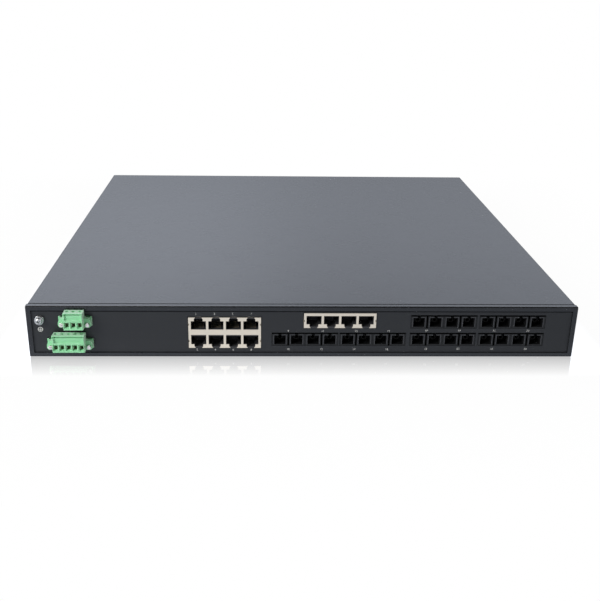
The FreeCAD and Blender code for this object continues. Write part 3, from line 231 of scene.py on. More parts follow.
def fine_grain():
    """Fine speckle and broad cloud over a surface, for colour, roughness and bump."""
    group = bpy.data.node_groups.get("Fine Grain")
    if group:
        return group
    group, given, result = new_group(
        "Fine Grain",
        {"Scale": 900.0, "Mottle": 0.1, "Roughness": 0.5, "Spread": 0.1, "Stretch": 1.0},
        ("Shade", "Roughness", "Height"),
    )
    place = add_node(group, "ShaderNodeTexCoord").outputs["Object"]
    stretch = add_node(group, "ShaderNodeCombineXYZ", {0: given.outputs["Stretch"], 1: 1.0, 2: 1.0})
    place = add_node(
        group, "ShaderNodeVectorMath", {0: place, 1: stretch.outputs[0]}, operation="MULTIPLY"
    ).outputs[0]
    fine = add_node(
        group,
        "ShaderNodeTexNoise",
        {"Vector": place, "Scale": given.outputs["Scale"], "Detail": 3.0, "Roughness": 0.6},
    ).outputs[0]
    broad_scale = calculate(group, "MULTIPLY", given.outputs["Scale"], BROAD_SHARE)
    broad = add_node(
        group, "ShaderNodeTexNoise", {"Vector": place, "Scale": broad_scale, "Detail": 2.0}
    ).outputs[0]
    both = calculate(group, "ADD", fine, broad)
    centred = calculate(group, "SUBTRACT", both, 1.0)
    shade = calculate(group, "MULTIPLY_ADD", centred, given.outputs["Mottle"])
    shade.node.inputs[2].default_value = 1.0
    rough = calculate(group, "MULTIPLY", centred, given.outputs["Spread"])
    rough = calculate(group, "ADD", rough, given.outputs["Roughness"], clamp=True)
    feed(group, result, {"Shade": shade, "Roughness": rough, "Height": fine})
    return group


def settled_dust():
    """Mask of thin dust on the faces that look up."""
    group = bpy.data.node_groups.get("Settled Dust")
    if group:
        return group
    group, given, result = new_group("Settled Dust", {"Amount": 0.2, "Scale": 60.0}, ("Mask",))
    normal = add_node(group, "ShaderNodeNewGeometry").outputs["Normal"]
    upward = add_node(group, "ShaderNodeSeparateXYZ", {0: normal}).outputs["Z"]
    upward = calculate(group, "POWER", calculate(group, "MAXIMUM", upward, 0.0), DUST_FOCUS)
    place = add_node(group, "ShaderNodeTexCoord").outputs["Object"]
    cloud = add_node(
        group,
        "ShaderNodeTexNoise",
        {"Vector": place, "Scale": given.outputs["Scale"], "Detail": 5.0, "Roughness": 0.65},
    ).outputs[0]
    cloud = calculate(group, "MULTIPLY", cloud, given.outputs["Amount"])
    feed(group, result, {"Mask": calculate(group, "MULTIPLY", cloud, upward, clamp=True)})
    return group


def edge_rub():
    """Mask of the outer edges of a piece, broken up by noise: a painted highlight along them, with worn
    paint.
    """
    group = bpy.data.node_groups.get("Edge Light And Wear")
    if group:
        return group
    group, given, result = new_group("Edge Light And Wear", {"Width": 0.0004, "Amount": 0.3}, ("Mask",))
    rounded = add_node(group, "ShaderNodeBevel", {"Radius": given.outputs["Width"]}, samples=4)
    normal = add_node(group, "ShaderNodeNewGeometry").outputs["Normal"]
    along = add_node(
        group, "ShaderNodeVectorMath", {0: rounded.outputs[0], 1: normal}, operation="DOT_PRODUCT"
    ).outputs["Value"]
    away = calculate(group, "SUBTRACT", 1.0, along)
    away = calculate(group, "MULTIPLY", away, EDGE_LIGHT_CONTRAST, clamp=True)
    place = add_node(group, "ShaderNodeTexCoord").outputs["Object"]
    broken = add_node(
        group, "ShaderNodeTexNoise", {"Vector": place, "Scale": EDGE_LIGHT_SCALE, "Detail": 4.0}
    ).outputs[0]
    broken = calculate(group, "MULTIPLY", broken, given.outputs["Amount"])
    feed(group, result, {"Mask": calculate(group, "MULTIPLY", away, broken, clamp=True)})
    return group


def place_group(tree, group, values):
    return add_node(tree, "ShaderNodeGroup", values, node_tree=group)


def make_finish(
    name,
    colour,
    roughness=0.5,
    spread=0.12,
    scale=900.0,
    mottle=0.12,
    stretch=1.0,
    bump=0.1,
    rub=0.0,
    edge_light_width=0.0004,
    edge_light_colour=(0.1, 0.1, 0.105),
    dust=0.0,
    metallic=0.0,
    specular=0.5,
    tint=(1.0, 1.0, 1.0),
    coat=0.0,
    sheen=0.0,
):
    """Material with grain in its colour, roughness and bump, edges lightened by a painted highlight and
    wear, and settled dust.
    """
    material = bpy.data.materials.new(name)
    material.use_nodes = True
    tree = material.node_tree
    surface = tree.nodes["Principled BSDF"]
    grain = place_group(
        tree,
        fine_grain(),
        {
            "Scale": scale,
            "Mottle": mottle,
            "Roughness": roughness,
            "Spread": spread,
            "Stretch": stretch,
        },
    )
    shade = add_node(tree, "ShaderNodeCombineColor", {n: grain.outputs["Shade"] for n in range(3)})
    base = mix_colours(tree, 1.0, opaque(colour), shade.outputs[0], "MULTIPLY")
    # Edges lighter in colour: a painted highlight where they would catch the light, partly worn paint
    if rub:
        mask = place_group(tree, edge_rub(), {"Width": edge_light_width, "Amount": rub})
        base = mix_colours(tree, mask.outputs["Mask"], base, opaque(edge_light_colour))
    if dust:
        mask = place_group(tree, settled_dust(), {"Amount": dust})
        base = mix_colours(tree, mask.outputs["Mask"], base, opaque(DUST_COLOUR))
    relief = add_node(
        tree,
        "ShaderNodeBump",
        {"Strength": bump, "Distance": BUMP_DEPTH, "Height": grain.outputs["Height"]},
    )
    feed(
        tree,
        surface,
        {
            "Base Color": base,
            "Roughness": grain.outputs["Roughness"],
            "Normal": relief.outputs["Normal"],
            "Metallic": metallic,
            "Specular IOR Level": specular,
            "Specular Tint": opaque(tint),
            "Coat Weight": coat,
            "Sheen Weight": sheen,
        },
    )
    return material


def dress(material, *names):
    """Give CAD nodes a material."""
    for name in names:
        mesh = NODES[name].data
        mesh.materials.clear()
        mesh.materials.append(material)


# Mesh making

# Distances that weld corners, in metres
WELD = 1e-6
SEAM_WELD = 1e-7
# Angles from which an edge is shaded as sharp, in degrees
SMOOTH = 40
PRINT_SMOOTH = 30
FLAT = 1
# Driver recesses: how far a blade cuts past the head, in millimetres, and its width at the bottom
OVERCUT = 0.1
RECESS_TAPER = 0.55


def turned(profile, segments=48):
    """Solid turned about its own upward axis from (radius, height) points in millimetres."""
    form = bmesh.new()
    points = [form.verts.new((radius * MM, 0, height * MM)) for radius, height in profile]
    lines = [form.edges.new(pair) for pair in zip(points, points[1:])]
    bmesh.ops.spin(
        form,
        geom=points + lines,
        cent=(0, 0, 0),
        axis=(0, 0, 1),
        angle=2 * math.pi,
        steps=segments,
        use_merge=True,
    )
    bmesh.ops.remove_doubles(form, verts=form.verts, dist=SEAM_WELD)
    bmesh.ops.recalc_face_normals(form, faces=form.faces)
    return form


def add_block(form, centre, size, narrow=1.0):
    """Block by its centre and size in millimetres, drawn in at its lower end."""
    for corner in bmesh.ops.create_cube(form, size=1.0)["verts"]:
        share = narrow if corner.co.z < 0 else 1.0
        corner.co = Vector(
            (centre[0] + corner.co.x * size[0] * share,
             centre[1] + corner.co.y * size[1] * share,
             centre[2] + corner.co.z * size[2])
        ) * MM


def to_object(name, form):
    mesh = bpy.data.meshes.new(name)
    form.to_mesh(mesh)
    form.free()
    made = bpy.data.objects.new(name, mesh)
    bpy.context.scene.collection.objects.link(made)
    return made


def evaluated_mesh(thing):
    bpy.context.view_layer.update()
    depsgraph = bpy.context.evaluated_depsgraph_get()
    return bpy.data.meshes.new_from_object(thing.evaluated_get(depsgraph))


def carve(form, *cutters, operation="DIFFERENCE"):
    """Take the cutters out of a form, or join them to it."""
    solid = to_object("carved_solid", form)
    tools = [to_object("carving_tool", cutter) for cutter in cutters]
    for tool in tools:
        step = solid.modifiers.new("carve", "BOOLEAN")
        step.operation = operation
        step.solver = "EXACT"
        step.object = tool
    carved = bmesh.new()
    carved.from_mesh(evaluated_mesh(solid))
    for made in (solid, *tools):
        bpy.data.objects.remove(made)
    if not carved.faces:
        raise RuntimeError("carving left nothing of a form")
    return carved


def block(low, high):
    """Block by its lowest and highest corners in millimetres."""
    form = bmesh.new()
    centre = [(a + b) / 2 for a, b in zip(low, high)]
    add_block(form, centre, [b - a for a, b in zip(low, high)])
    return form


def rework(node, name, material, slot, *cutters, operation="DIFFERENCE"):
    """Copy of a CAD node with blocks cut from it or joined to it, in place of the node."""
    form = bmesh.new()
    form.from_mesh(NODES[node].data)
    bmesh.ops.remove_doubles(form, verts=form.verts, dist=WELD)
    piece = to_object(name, carve(form, *cutters, operation=operation))
    finish_piece(piece, material, FLAT)
    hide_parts(node)


def cross_cutter(top, span, width, depth):
    """Two crossed blades, narrower at the bottom."""
    blades = []
    for size in ((span, width), (width, span)):
        form = bmesh.new()
        add_block(form, (0, 0, top - depth / 2), (*size, depth + OVERCUT), RECESS_TAPER)
        blades.append(form)
    return blades


def slot_cutter(top, span, width, depth):
    """One straight blade."""
    form = bmesh.new()
    add_block(form, (0, 0, top), (span, width, depth * 2))
    return form


def place(x, y, z, turn, spin=0.0):
    """Matrix that stands a piece at a point in millimetres, facing a side of the object."""
    return Matrix.Translation(Vector((x, y, z)) * MM) @ turn @ Matrix.Rotation(spin, 4, "Z")


def repeat_form(name, form, places, material):
    """Object made of copies of a form, riding on the switch."""
    mesh = bpy.data.meshes.new(name)
    whole = bmesh.new()
    form.to_mesh(mesh)
    for matrix in places:
        start = len(whole.verts)
        whole.from_mesh(mesh)
        whole.verts.ensure_lookup_table()
        bmesh.ops.transform(whole, matrix=matrix, verts=whole.verts[start:])
    form.free()
    bmesh.ops.recalc_face_normals(whole, faces=whole.faces)
    whole.to_mesh(mesh)
    whole.free()
    made = bpy.data.objects.new(name, mesh)
    bpy.context.scene.collection.objects.link(made)
    finish_piece(made, material)
    return made


def finish_piece(made, material, smooth=SMOOTH):
    """Dress a new piece and let it ride on the switch."""
    mesh = made.data
    mesh.materials.clear()
    mesh.materials.append(material)
    mesh.shade_smooth()
    mesh.set_sharp_from_angle(angle=math.radians(smooth))
    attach(made, "root")


# Operators, one for each group of pieces

# Sheet of the case, the strip cut from the cover's front edge, and the fit of the strip over a jack
SHEET = 1.2
SEAM_TRIM = 0.7
BRIDGE_END = 0.9
BRIDGE_GAP = 0.15


class RACKSWITCH_OT_case(bpy.types.Operator):
    """Paint the folded case and the front panel"""

    bl_idname = "rack_switch.dress_case"
    bl_label = "Case and front panel"

    def execute(self, context):
        look = context.scene.switch_case
        paint = make_finish(
            "case_paint",
            look.paint,
            roughness=look.roughness,
            spread=0.025,
            scale=1500.0,
            mottle=0.18,
            bump=0.12,
            # The edge setting paints a highlight along the folds and cut edges, with some rubbed paint
            rub=look.rub,
            edge_light_width=0.0005,
            dust=look.dust * DUST_STRENGTH,
            tint=(0.93, 0.96, 1.0),
        )
        panel = make_finish(
            "panel_paint",
            look.panel,
            roughness=0.46,
            spread=0.08,
            scale=1300.0,
            mottle=0.16,
            bump=0.1,
            rub=look.rub,
            tint=(0.96, 0.98, 1.0),
        )
        dress(paint, "chassis_base")
        low, high = (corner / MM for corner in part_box("top_cover"))
        front_edge = block(
            (low.x - SHEET, low.y - SHEET, low.z - SHEET),
            (high.x + SHEET, low.y + SEAM_TRIM, high.z + SHEET),
        )
        rework("top_cover", "folded_cover", paint, "case_paint", front_edge)
        low, high = (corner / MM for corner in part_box("jack_1x4_shield"))
        upper_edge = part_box("front_panel")[1].z / MM
        bridge = block(
            (low.x - BRIDGE_END, PANEL_FRONT, high.z + BRIDGE_GAP),
            (high.x + BRIDGE_END, PANEL_FRONT + SHEET, upper_edge),
        )
        rework("front_panel", "punched_panel", panel, "panel_paint", bridge, operation="UNION")
        return {"FINISHED"}


# Screws of the cover: their places in millimetres, and the turn of the first head of each row
SCREW_PLACES = (-150, 0, 150)
COVER_BACK = 220
REAR_SCREW_Z = 38
REAR_TURN = 0.4
COVER_SIDE = 219.96
SIDE_SCREW_Z = 5
LEFT_TURN = 0.3
RIGHT_TURN = 0.7


class RACKSWITCH_OT_fasteners(bpy.types.Operator):
    """Cross recess screws of the cover and the press nuts for rack ears"""

    bl_idname = "rack_switch.add_fasteners"
    bl_label = "Cover screws and press nuts"

    def execute(self, context):
        zinc = bright_zinc(context)
        dress(zinc, "ear_nuts")
        pan = [
            (0, 1.8), (1.0, 1.74), (1.8, 1.5), (2.4, 1.1), (2.72, 0.6), (2.8, 0.2), (2.8, 0), (0, 0),
        ]
        head = carve(turned(pan), *cross_cutter(top=1.8, span=2.9, width=0.62, depth=1.1))
        rear = [
            place(x, COVER_BACK, REAR_SCREW_Z, FACE_BACK, REAR_TURN + n)
            for n, x in enumerate(SCREW_PLACES)
        ]
        piece = repeat_form("cover_rear_screw_heads", head, rear, zinc)
        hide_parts("cover_rear_screws")

        sunk = [
            (0, 0), (2.7, 0), (2.84, -0.06), (2.84, -0.1), (1.75, -1.15), (1.4, -1.25),
            (1.4, -4), (0, -4),
        ]
        head = carve(turned(sunk), *cross_cutter(top=0, span=2.7, width=0.6, depth=1.0))
        sides = []
        for n, y in enumerate(SCREW_PLACES):
            sides.append(place(-COVER_SIDE, y, SIDE_SCREW_Z, FACE_LEFT, LEFT_TURN + n))
            sides.append(place(COVER_SIDE, y, SIDE_SCREW_Z, FACE_RIGHT, RIGHT_TURN + n))
        piece = repeat_form("cover_side_screw_heads", head, sides, zinc)
        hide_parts("cover_side_screws")
        return {"FINISHED"}


def bright_zinc(context):
    """Zinc of the screws, made once."""
    made = bpy.data.materials.get("bright_zinc")
    if made:
        return made
    return make_finish(
        "bright_zinc",
        context.scene.switch_terminals.screw,
        roughness=0.3,
        spread=0.16,
        scale=1800.0,
        mottle=0.12,
        bump=0.12,
        metallic=1.0,
    )


# Washers under the earth screw and the split in one of them, in millimetres, and the head's turn
FLAT_WASHER = 0.8
SPRING_WASHER = 1.0
SPLIT = ((-0.35, 0.8, -0.5), (0.35, 5.2, 1.5))
EARTH_TURN = 0.3
WASHER_SEGMENTS = 56


class RACKSWITCH_OT_earth(bpy.types.Operator):
    """Earth screw with its split washer between two flat washers"""

    bl_idname = "rack_switch.add_earth_terminal"
    bl_label = "Earth terminal"

    def execute(self, context):
        zinc = make_finish(
            "dull_zinc",
            context.scene.switch_terminals.earth,
            roughness=0.4,
            spread=0.16,
            scale=1800.0,
            mottle=0.2,
            bump=0.12,
            metallic=1.0,
        )
        dress(zinc, "earth_nut")
        outer_face = PANEL_FRONT - FLAT_WASHER - SPRING_WASHER
        washer = [
            (1.7, 0), (3.5, 0), (3.6, 0.1), (3.6, 0.66),
            (3.46, FLAT_WASHER), (1.7, FLAT_WASHER), (1.7, 0),
        ]
        seats = [place(EARTH.x, y, EARTH.z, FACE_FRONT) for y in (PANEL_FRONT, outer_face)]
        form = turned(washer, WASHER_SEGMENTS)
        piece = repeat_form("earth_washers", form, seats, zinc)
        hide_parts("earth_flat_washer")

        ring = [
            (1.7, 0), (2.9, 0), (3.0, 0.1), (3.0, 0.9),
            (2.9, SPRING_WASHER), (1.7, SPRING_WASHER), (1.7, 0),
        ]
        split = carve(turned(ring, WASHER_SEGMENTS), block(*SPLIT))
        seats = [place(EARTH.x, PANEL_FRONT - FLAT_WASHER, EARTH.z, FACE_FRONT)]
        piece = repeat_form("earth_split_washer", split, seats, zinc)
        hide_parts("earth_spring_washer")

        pan = [
            (0, 2.3), (1.1, 2.26), (1.9, 2.08), (2.45, 1.7), (2.8, 1.1), (2.9, 0.5), (2.9, 0),
            (1.4, 0), (1.4, -7.1), (0, -7.1),
        ]
        head = carve(turned(pan), *cross_cutter(top=2.3, span=3.4, width=0.8, depth=1.3))
        seats = [place(EARTH.x, outer_face - FLAT_WASHER, EARTH.z, FACE_FRONT, EARTH_TURN)]
        piece = repeat_form("earth_screw_head", head, seats, zinc)
        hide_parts("earth_screw")
        return {"FINISHED"}


# Cuts that raise the lower windows of the stacked jack's shield, in millimetres. They are a little
# narrower than the windows, so that no two walls coincide.
STACKED_CENTRE = -63.4
PORT_PITCH = 13.97
STACKED_COPPER = [STACKED_CENTRE + step * PORT_PITCH for step in (-1.5, -0.5, 0.5, 1.5)]
MOUTH = 12.06
LOWER_SILL = 18.4
SILL_RISE = 0.95
SILL_OVERLAP = 0.3
SHIELD_SHEET = 0.38
SHIELD_CLEAR = 1


class RACKSWITCH_OT_copper(bpy.types.Operator):
    """Tinned shields, black housings and gilded contacts of the copper ports"""

    bl_idname = "rack_switch.dress_copper_ports"
    bl_label = "Copper ports"

    def execute(self, context):
        look = context.scene.switch_ports
        tin = make_finish(
            "tinned_sheet",
            look.shield,
            roughness=0.36,
            spread=0.2,
            scale=700.0,
            mottle=0.16,
            stretch=0.12,
            bump=0.1,
            metallic=1.0,
        )
        black = make_finish("jack_plastic", look.housing, roughness=0.5, scale=1600.0, bump=0.12)
        gilt = make_finish(
            "gilt_contacts",
            look.contact,
            roughness=0.5,
            scale=2200.0,
            mottle=0.1,
            bump=0.05,
            metallic=1.0,
        )
        dress(tin, "jack_1x4_shield")
        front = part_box("jack_2x4_shield")[0].y / MM
        windows = [
            block(
                (x - MOUTH / 2, front - SHIELD_CLEAR, LOWER_SILL - SILL_OVERLAP),
                (x + MOUTH / 2, front + SHIELD_SHEET, LOWER_SILL + SILL_RISE),
            )
            for x in STACKED_COPPER
        ]
        rework("jack_2x4_shield", "stacked_jack_shield", tin, "tinned_shield", *windows)
        dress(black, "jack_2x4_housing", "jack_1x4_housing")
        dress(gilt, "jack_2x4_contacts", "jack_1x4_contacts")
        return {"FINISHED"}


# Rims of the fibre sockets: width, height over the nose and depth in it, in millimetres
RIM = 0.6
RIM_PROUD = 0.15
RIM_BITE = 0.05
SLEEVE_SEGMENTS = 32


def fibre_sockets():
    """Centre of every fibre socket across and up the panel."""
    centres = [(x, LOW_SOCKET_Z) for x in (*LOWER_FIBRE, *STACKED_FIBRE)]
    centres += [(x, HIGH_SOCKET_Z) for x in STACKED_FIBRE]
    return [(x + side, z) for x, z in centres for side in (-SOCKET_SIDE, SOCKET_SIDE)]


def add_socket_rim(form, x, z):
    """Raised rim at the sides and the top of a socket, open at the key way."""
    depth = RIM_PROUD + RIM_BITE
    face = NOSE_FRONT - RIM_PROUD + depth / 2
    half = SOCKET_WIDTH / 2
    top = z + SOCKET_HEIGHT / 2 + RIM / 2
    arm = half + RIM - SOCKET_KEY / 2
    for side in (-1, 1):
        add_block(form, (x + side * (half + RIM / 2), face, z), (RIM, depth, SOCKET_HEIGHT))
        add_block(form, (x + side * (SOCKET_KEY / 2 + arm / 2), face, top), (arm, depth, RIM))


class RACKSWITCH_OT_fibre(bpy.types.Operator):
    """Dark duplex fibre ports with a round sleeve in each socket"""

    bl_idname = "rack_switch.add_fibre_ports"
    bl_label = "Fibre ports"

    def execute(self, context):
        look = context.scene.switch_ports
        plastic = make_finish(
            "fibre_plastic",
            look.nose,
            roughness=0.42,
            scale=1700.0,
            mottle=0.15,
            bump=0.12,
            specular=0.32,
        )
        dress(plastic, *[f"fibre_transceiver_{port}" for port in FIBRE_PORTS])
        # Sleeves coloured near black, darker than any real metal: painted shade deep inside the sockets
        metal = make_finish(
            "sleeve_metal_painted_shade",
            look.sleeve,
            roughness=0.6,
            scale=2000.0,
            mottle=0.1,
            bump=0.08,
            metallic=1.0,
        )
        tube = [
            (1.25, 0), (2.3, 0), (2.3, 4.9), (2.1, SLEEVE_LENGTH),
            (1.55, SLEEVE_LENGTH), (1.25, 4.9), (1.25, 0),
        ]
        sockets = fibre_sockets()
        seats = [place(x, SLEEVE_MOUTH + SLEEVE_LENGTH, z, FACE_FRONT) for x, z in sockets]
        form = turned(tube, SLEEVE_SEGMENTS)
        piece = repeat_form("fibre_sleeves", form, seats, metal)
        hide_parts("optical_sleeves")

        # Rims coloured lighter than the nose: a painted highlight where the socket edges catch the light
        rim_highlight = make_finish(
            "rim_plastic_painted_highlight", look.rim, roughness=0.36, scale=1700.0, mottle=0.15, bump=0.1
        )
        rims = bmesh.new()
        for x, z in sockets:
            add_socket_rim(rims, x, z)
        finish_piece(to_object("fibre_socket_rims", rims), rim_highlight)
        return {"FINISHED"}


# Right side of both plugs and the pitch of their ways, in millimetres
PLUG_RIGHT = -174.0
PIN_PITCH = 5.08
# Steps under the roof of a plug: distance from its sides, depth, and bottom and top below the roof
PLUG_STEPS = ((1.3, 1.0, 1.0, 0.35), (0.75, 1.9, 1.75, 0.45))
PLUG_CLEAR = 1
# Screws of the plugs: height of the flange screws' heads, radius of their shanks, and turns of the slots
FLANGE_HEAD = 1.9
FLANGE_SHANK = 1.25
CLAMP_TURN = 0.35
FLANGE_TURNS = (0.5, 1.4)


def spread(first, last, count):
    """Evenly spaced places from the first to the last."""
    return [first + (last - first) * n / (count - 1) for n in range(count)]


def add_plug_body(name, pins, material):
    """Plug with a stepped groove under its roof."""
    left = PLUG_RIGHT - pins * PIN_PITCH
    low, high = (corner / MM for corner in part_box(f"{name}_plug"))
    cuts = [
        block(
            (left + side, low.y - PLUG_CLEAR, high.z - bottom),
            (PLUG_RIGHT - side, low.y + depth, high.z - roof),
        )
        for side, depth, bottom, roof in PLUG_STEPS
    ]
    rework(f"{name}_plug", f"{name}_plug_body", material, "green_plastic", *cuts)


def add_clamp_heads(name, pins, material):
    """Slotted screws down the wells of a plug."""
    low, high = (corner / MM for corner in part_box(f"{name}_clamp_screws"))
    height = high.z - low.z
    radius = (high.y - low.y) / 2
    clamp = [
        (0, 0), (radius - 0.15, 0), (radius, -0.15), (radius, -height), (0, -height),
    ]
    head = carve(turned(clamp), slot_cutter(top=0, span=4, width=0.55, depth=0.7))
    columns = spread(low.x + radius, high.x - radius, pins)
    middle = (low.y + high.y) / 2
    seats = [place(x, middle, high.z, FACE_UP, CLAMP_TURN * n) for n, x in enumerate(columns)]
    piece = repeat_form(f"{name}_clamp_heads", head, seats, material)
    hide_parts(f"{name}_clamp_screws")


def add_flange_heads(name, material):
    """Slotted screws through both flanges of a plug."""
    low, high = (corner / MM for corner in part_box(f"{name}_flange_screws"))
    radius = (high.z - low.z) / 2
    reach = high.y - low.y - FLANGE_HEAD
    flange = [
        (0, FLANGE_HEAD), (radius - 0.4, FLANGE_HEAD), (radius - 0.12, FLANGE_HEAD - 0.15),
        (radius, FLANGE_HEAD - 0.45), (radius, 0), (FLANGE_SHANK, 0), (FLANGE_SHANK, -reach),
        (0, -reach),
    ]
    head = carve(turned(flange), slot_cutter(top=FLANGE_HEAD, span=5, width=0.8, depth=1.2))
    columns = (low.x + radius, high.x - radius)
    middle = (low.z + high.z) / 2
    seats = [
        place(x, low.y + FLANGE_HEAD, middle, FACE_FRONT, turn)
        for x, turn in zip(columns, FLANGE_TURNS)
    ]
    piece = repeat_form(f"{name}_flange_heads", head, seats, material)
    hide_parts(f"{name}_flange_screws")


class RACKSWITCH_OT_terminals(bpy.types.Operator):
    """Green plugs in their headers, with slotted clamp and flange screws"""

    bl_idname = "rack_switch.add_terminals"
    bl_label = "Terminals"

    def execute(self, context):
        look = context.scene.switch_terminals
        green = make_finish(
            "terminal_plastic",
            look.plastic,
            roughness=0.4,
            spread=0.1,
            scale=1500.0,
            mottle=0.08,
            bump=0.1,
            # Pale green edges: a painted highlight along the plug's edges, partly worn plastic
            rub=0.15,
            edge_light_colour=(0.34, 0.74, 0.46),
            sheen=1.0,
        )
        nickel = make_finish(
            "nickelled_brass",
            look.brass,
            roughness=0.34,
            scale=1800.0,
            mottle=0.12,
            bump=0.1,
            metallic=1.0,
        )
        zinc = bright_zinc(context)
        for name, pins in TERMINAL_PINS.items():
            dress(green, f"{name}_header")
            dress(nickel, f"{name}_clamp_cages", f"{name}_header_pins")
            add_plug_body(name, pins, green)
        for name, pins in TERMINAL_PINS.items():
            add_clamp_heads(name, pins, zinc)
            add_flange_heads(name, zinc)
        return {"FINISHED"}


class RACKSWITCH_OT_inside(bpy.types.Operator):
    """Boards and what they carry inside the case"""

    bl_idname = "rack_switch.dress_boards"
    bl_label = "Boards inside"

    def execute(self, context):
        look = context.scene.switch_inside
        mask = make_finish("solder_mask", look.board, roughness=0.35, scale=500.0, mottle=0.3, coat=0.2)
        dress(mask, "main_board", "mezzanine_board", "psu_board", "terminal_board")
        epoxy = make_finish("chip_epoxy", look.chip, roughness=0.55, scale=2200.0, mottle=0.2)
        dress(epoxy, "switch_chip", "phy_chips", "port_magnetics")
        dress(bpy.data.materials["jack_plastic"], "mezzanine_connector", "board_link_connectors")
        aluminium = make_finish(
            "sink_aluminium", look.aluminium, roughness=0.38, scale=600.0, stretch=0.1, metallic=1.0
        )
        dress(aluminium, "switch_heat_sink", "psu_heat_sink", "capacitors")
        ferrite = make_finish("ferrite_core", look.ferrite, roughness=0.62, scale=1200.0, mottle=0.25)
        dress(ferrite, "psu_transformer", "psu_choke")
        dress(bright_zinc(context), "board_standoffs", "mezzanine_spacers", "board_screws")
        return {"FINISHED"}


# White print on the front panel

# Numbers of one row, their centres across the panel and their height on it, in millimetres
NUMBER_ROWS = (
    ((1, 3, 5, 7), (-86.2, -71.5, -57.0, -42.1), 37.3),
    ((2, 4, 6, 8), (-85.8, -71.2, -56.7, -42.2), 6.0),
    ((9, 11, 13, 15), (-12.4, 15.4, 42.2, 68.4), 22.6),
    ((10, 12, 14, 16), (-12.3, 14.6, 41.2, 67.8), 6.4),
    ((17, 19, 21, 23), (99.1, 125.8, 154.3, 181.9), 23.0),
    ((18, 20, 22, 24), (99.7, 126.1, 153.9, 181.5), 6.8),
)
PRINT_DEPTH = 0.04
DIGIT_SHARE = 0.73
# Earth mark: height on the panel, ring, stem with its rise, and bars by width and drop, in millimetres
MARK_Z = 23.8
MARK_RING = (1.5, 2.0)
MARK_STEM = (0.4, 1.3)
MARK_STEM_RISE = 0.65
MARK_BARS = ((2.0, 0.1), (1.3, 0.65), (0.6, 1.2))
MARK_BAR = 0.36
# Plus and minus signs under the power plug: height on the panel, length and line width
SIGN_Z = 3.0
SIGN_LENGTH = 1.1
SIGN_LINE = 0.26
PLUS_SIGNS = (True, False, False, True, False)


def add_numeral(form, text, x, z, height):
    """Raised numeral on the panel, by its centre in millimetres."""
    curve = bpy.data.curves.new("numeral", "FONT")
    curve.body = text
    curve.size = height / DIGIT_SHARE
    curve.align_x = "CENTER"
    curve.align_y = "CENTER"
    curve.extrude = PRINT_DEPTH / 2 * MM
    holder = bpy.data.objects.new("numeral", curve)
    bpy.context.scene.collection.objects.link(holder)
    mesh = evaluated_mesh(holder)
    mesh.transform(place(x, PANEL_FRONT - PRINT_DEPTH / 2, z, FACE_FRONT))
    form.from_mesh(mesh)
    bpy.data.objects.remove(holder)


def print_object(name, form, material):
    """Printed piece on the panel."""
    finish_piece(to_object(name, form), material, PRINT_SMOOTH)


class RACKSWITCH_OT_print(bpy.types.Operator):
    """Port numbers, earth mark and polarity signs printed on the panel"""

    bl_idname = "rack_switch.add_print"
    bl_label = "Port numbers and marks"

    def execute(self, context):
        look = context.scene.switch_ports
        white = make_finish(
            "white_print", look.print_colour, roughness=0.6, scale=2500.0, mottle=0.2, bump=0.05
        )
        numbers = bmesh.new()
        for row, columns, z in NUMBER_ROWS:
            for number, x in zip(row, columns):
                add_numeral(numbers, str(number), x, z, look.number_height)
        print_object("port_numbers", numbers, white)

        face = PANEL_FRONT - PRINT_DEPTH / 2
        inner, outer = MARK_RING
        ring = [(inner, 0), (outer, 0), (outer, PRINT_DEPTH), (inner, PRINT_DEPTH), (inner, 0)]
        mark = turned(ring)
        bmesh.ops.transform(
            mark, matrix=place(EARTH.x, PANEL_FRONT, MARK_Z, FACE_FRONT), verts=mark.verts
        )
        width, height = MARK_STEM
        add_block(mark, (EARTH.x, face, MARK_Z + MARK_STEM_RISE), (width, PRINT_DEPTH, height))
        for width, drop in MARK_BARS:
            add_block(mark, (EARTH.x, face, MARK_Z - drop), (width, PRINT_DEPTH, MARK_BAR))
        print_object("earth_mark", mark, white)

        signs = bmesh.new()
        low, high = (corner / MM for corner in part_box("power_clamp_cages"))
        half = (high.x - low.x) / 2 / TERMINAL_PINS["power"]
        columns = spread(low.x + half, high.x - half, TERMINAL_PINS["power"])
        for x, plus in zip(columns, PLUS_SIGNS):
            add_block(signs, (x, face, SIGN_Z), (SIGN_LENGTH, PRINT_DEPTH, SIGN_LINE))
            if plus:
                add_block(signs, (x, face, SIGN_Z), (SIGN_LINE, PRINT_DEPTH, SIGN_LENGTH))
        print_object("polarity_signs", signs, white)
        return {"FINISHED"}


# Stage

# Camera and lamps: places and sizes in metres, lens and sensor in millimetres
CAMERA_PLACE = (-0.0355, -0.8488, 0.3007)
CAMERA_PITCH = math.radians(21.769)
CAMERA_YAW = math.radians(1.896)
CAMERA_ROLL = math.radians(0.843)
CAMERA_LENS = 51.32
CAMERA_SHIFT = 0.0233
SENSOR = 36.0
KEY_PLACE = (-1.5, -1.15, 1.0)
FILL_PLACE = (1.5, -0.5, 1.2)
TOP_PLACE = (-0.6, 0.9, 1.5)
LAMP_AIM = (0.0, -0.1, 0.02)
LAMP_SIZE = 0.9
# Floor and backdrop: steps of the bend, segments round, an inner ring as a share of the flat part,
# and drop and upper limit of the floor in metres
SWEEP_STEPS = 12
SWEEP_SEGMENTS = 96
SWEEP_RING = 0.4
SWEEP_DROP = 0.0002
FLOOR_LIMIT = 0.01
# Mirror of the object's foot and white of the paper round it: reach in metres and share
HALF_FOOTPRINT = 0.22
MIRROR_ROUGHNESS = 0.05
MIRROR_REACH = 0.034
MIRROR_SHARE = 0.445
WHITE_SHARE = 0.965
WHITE_REACH = 0.2
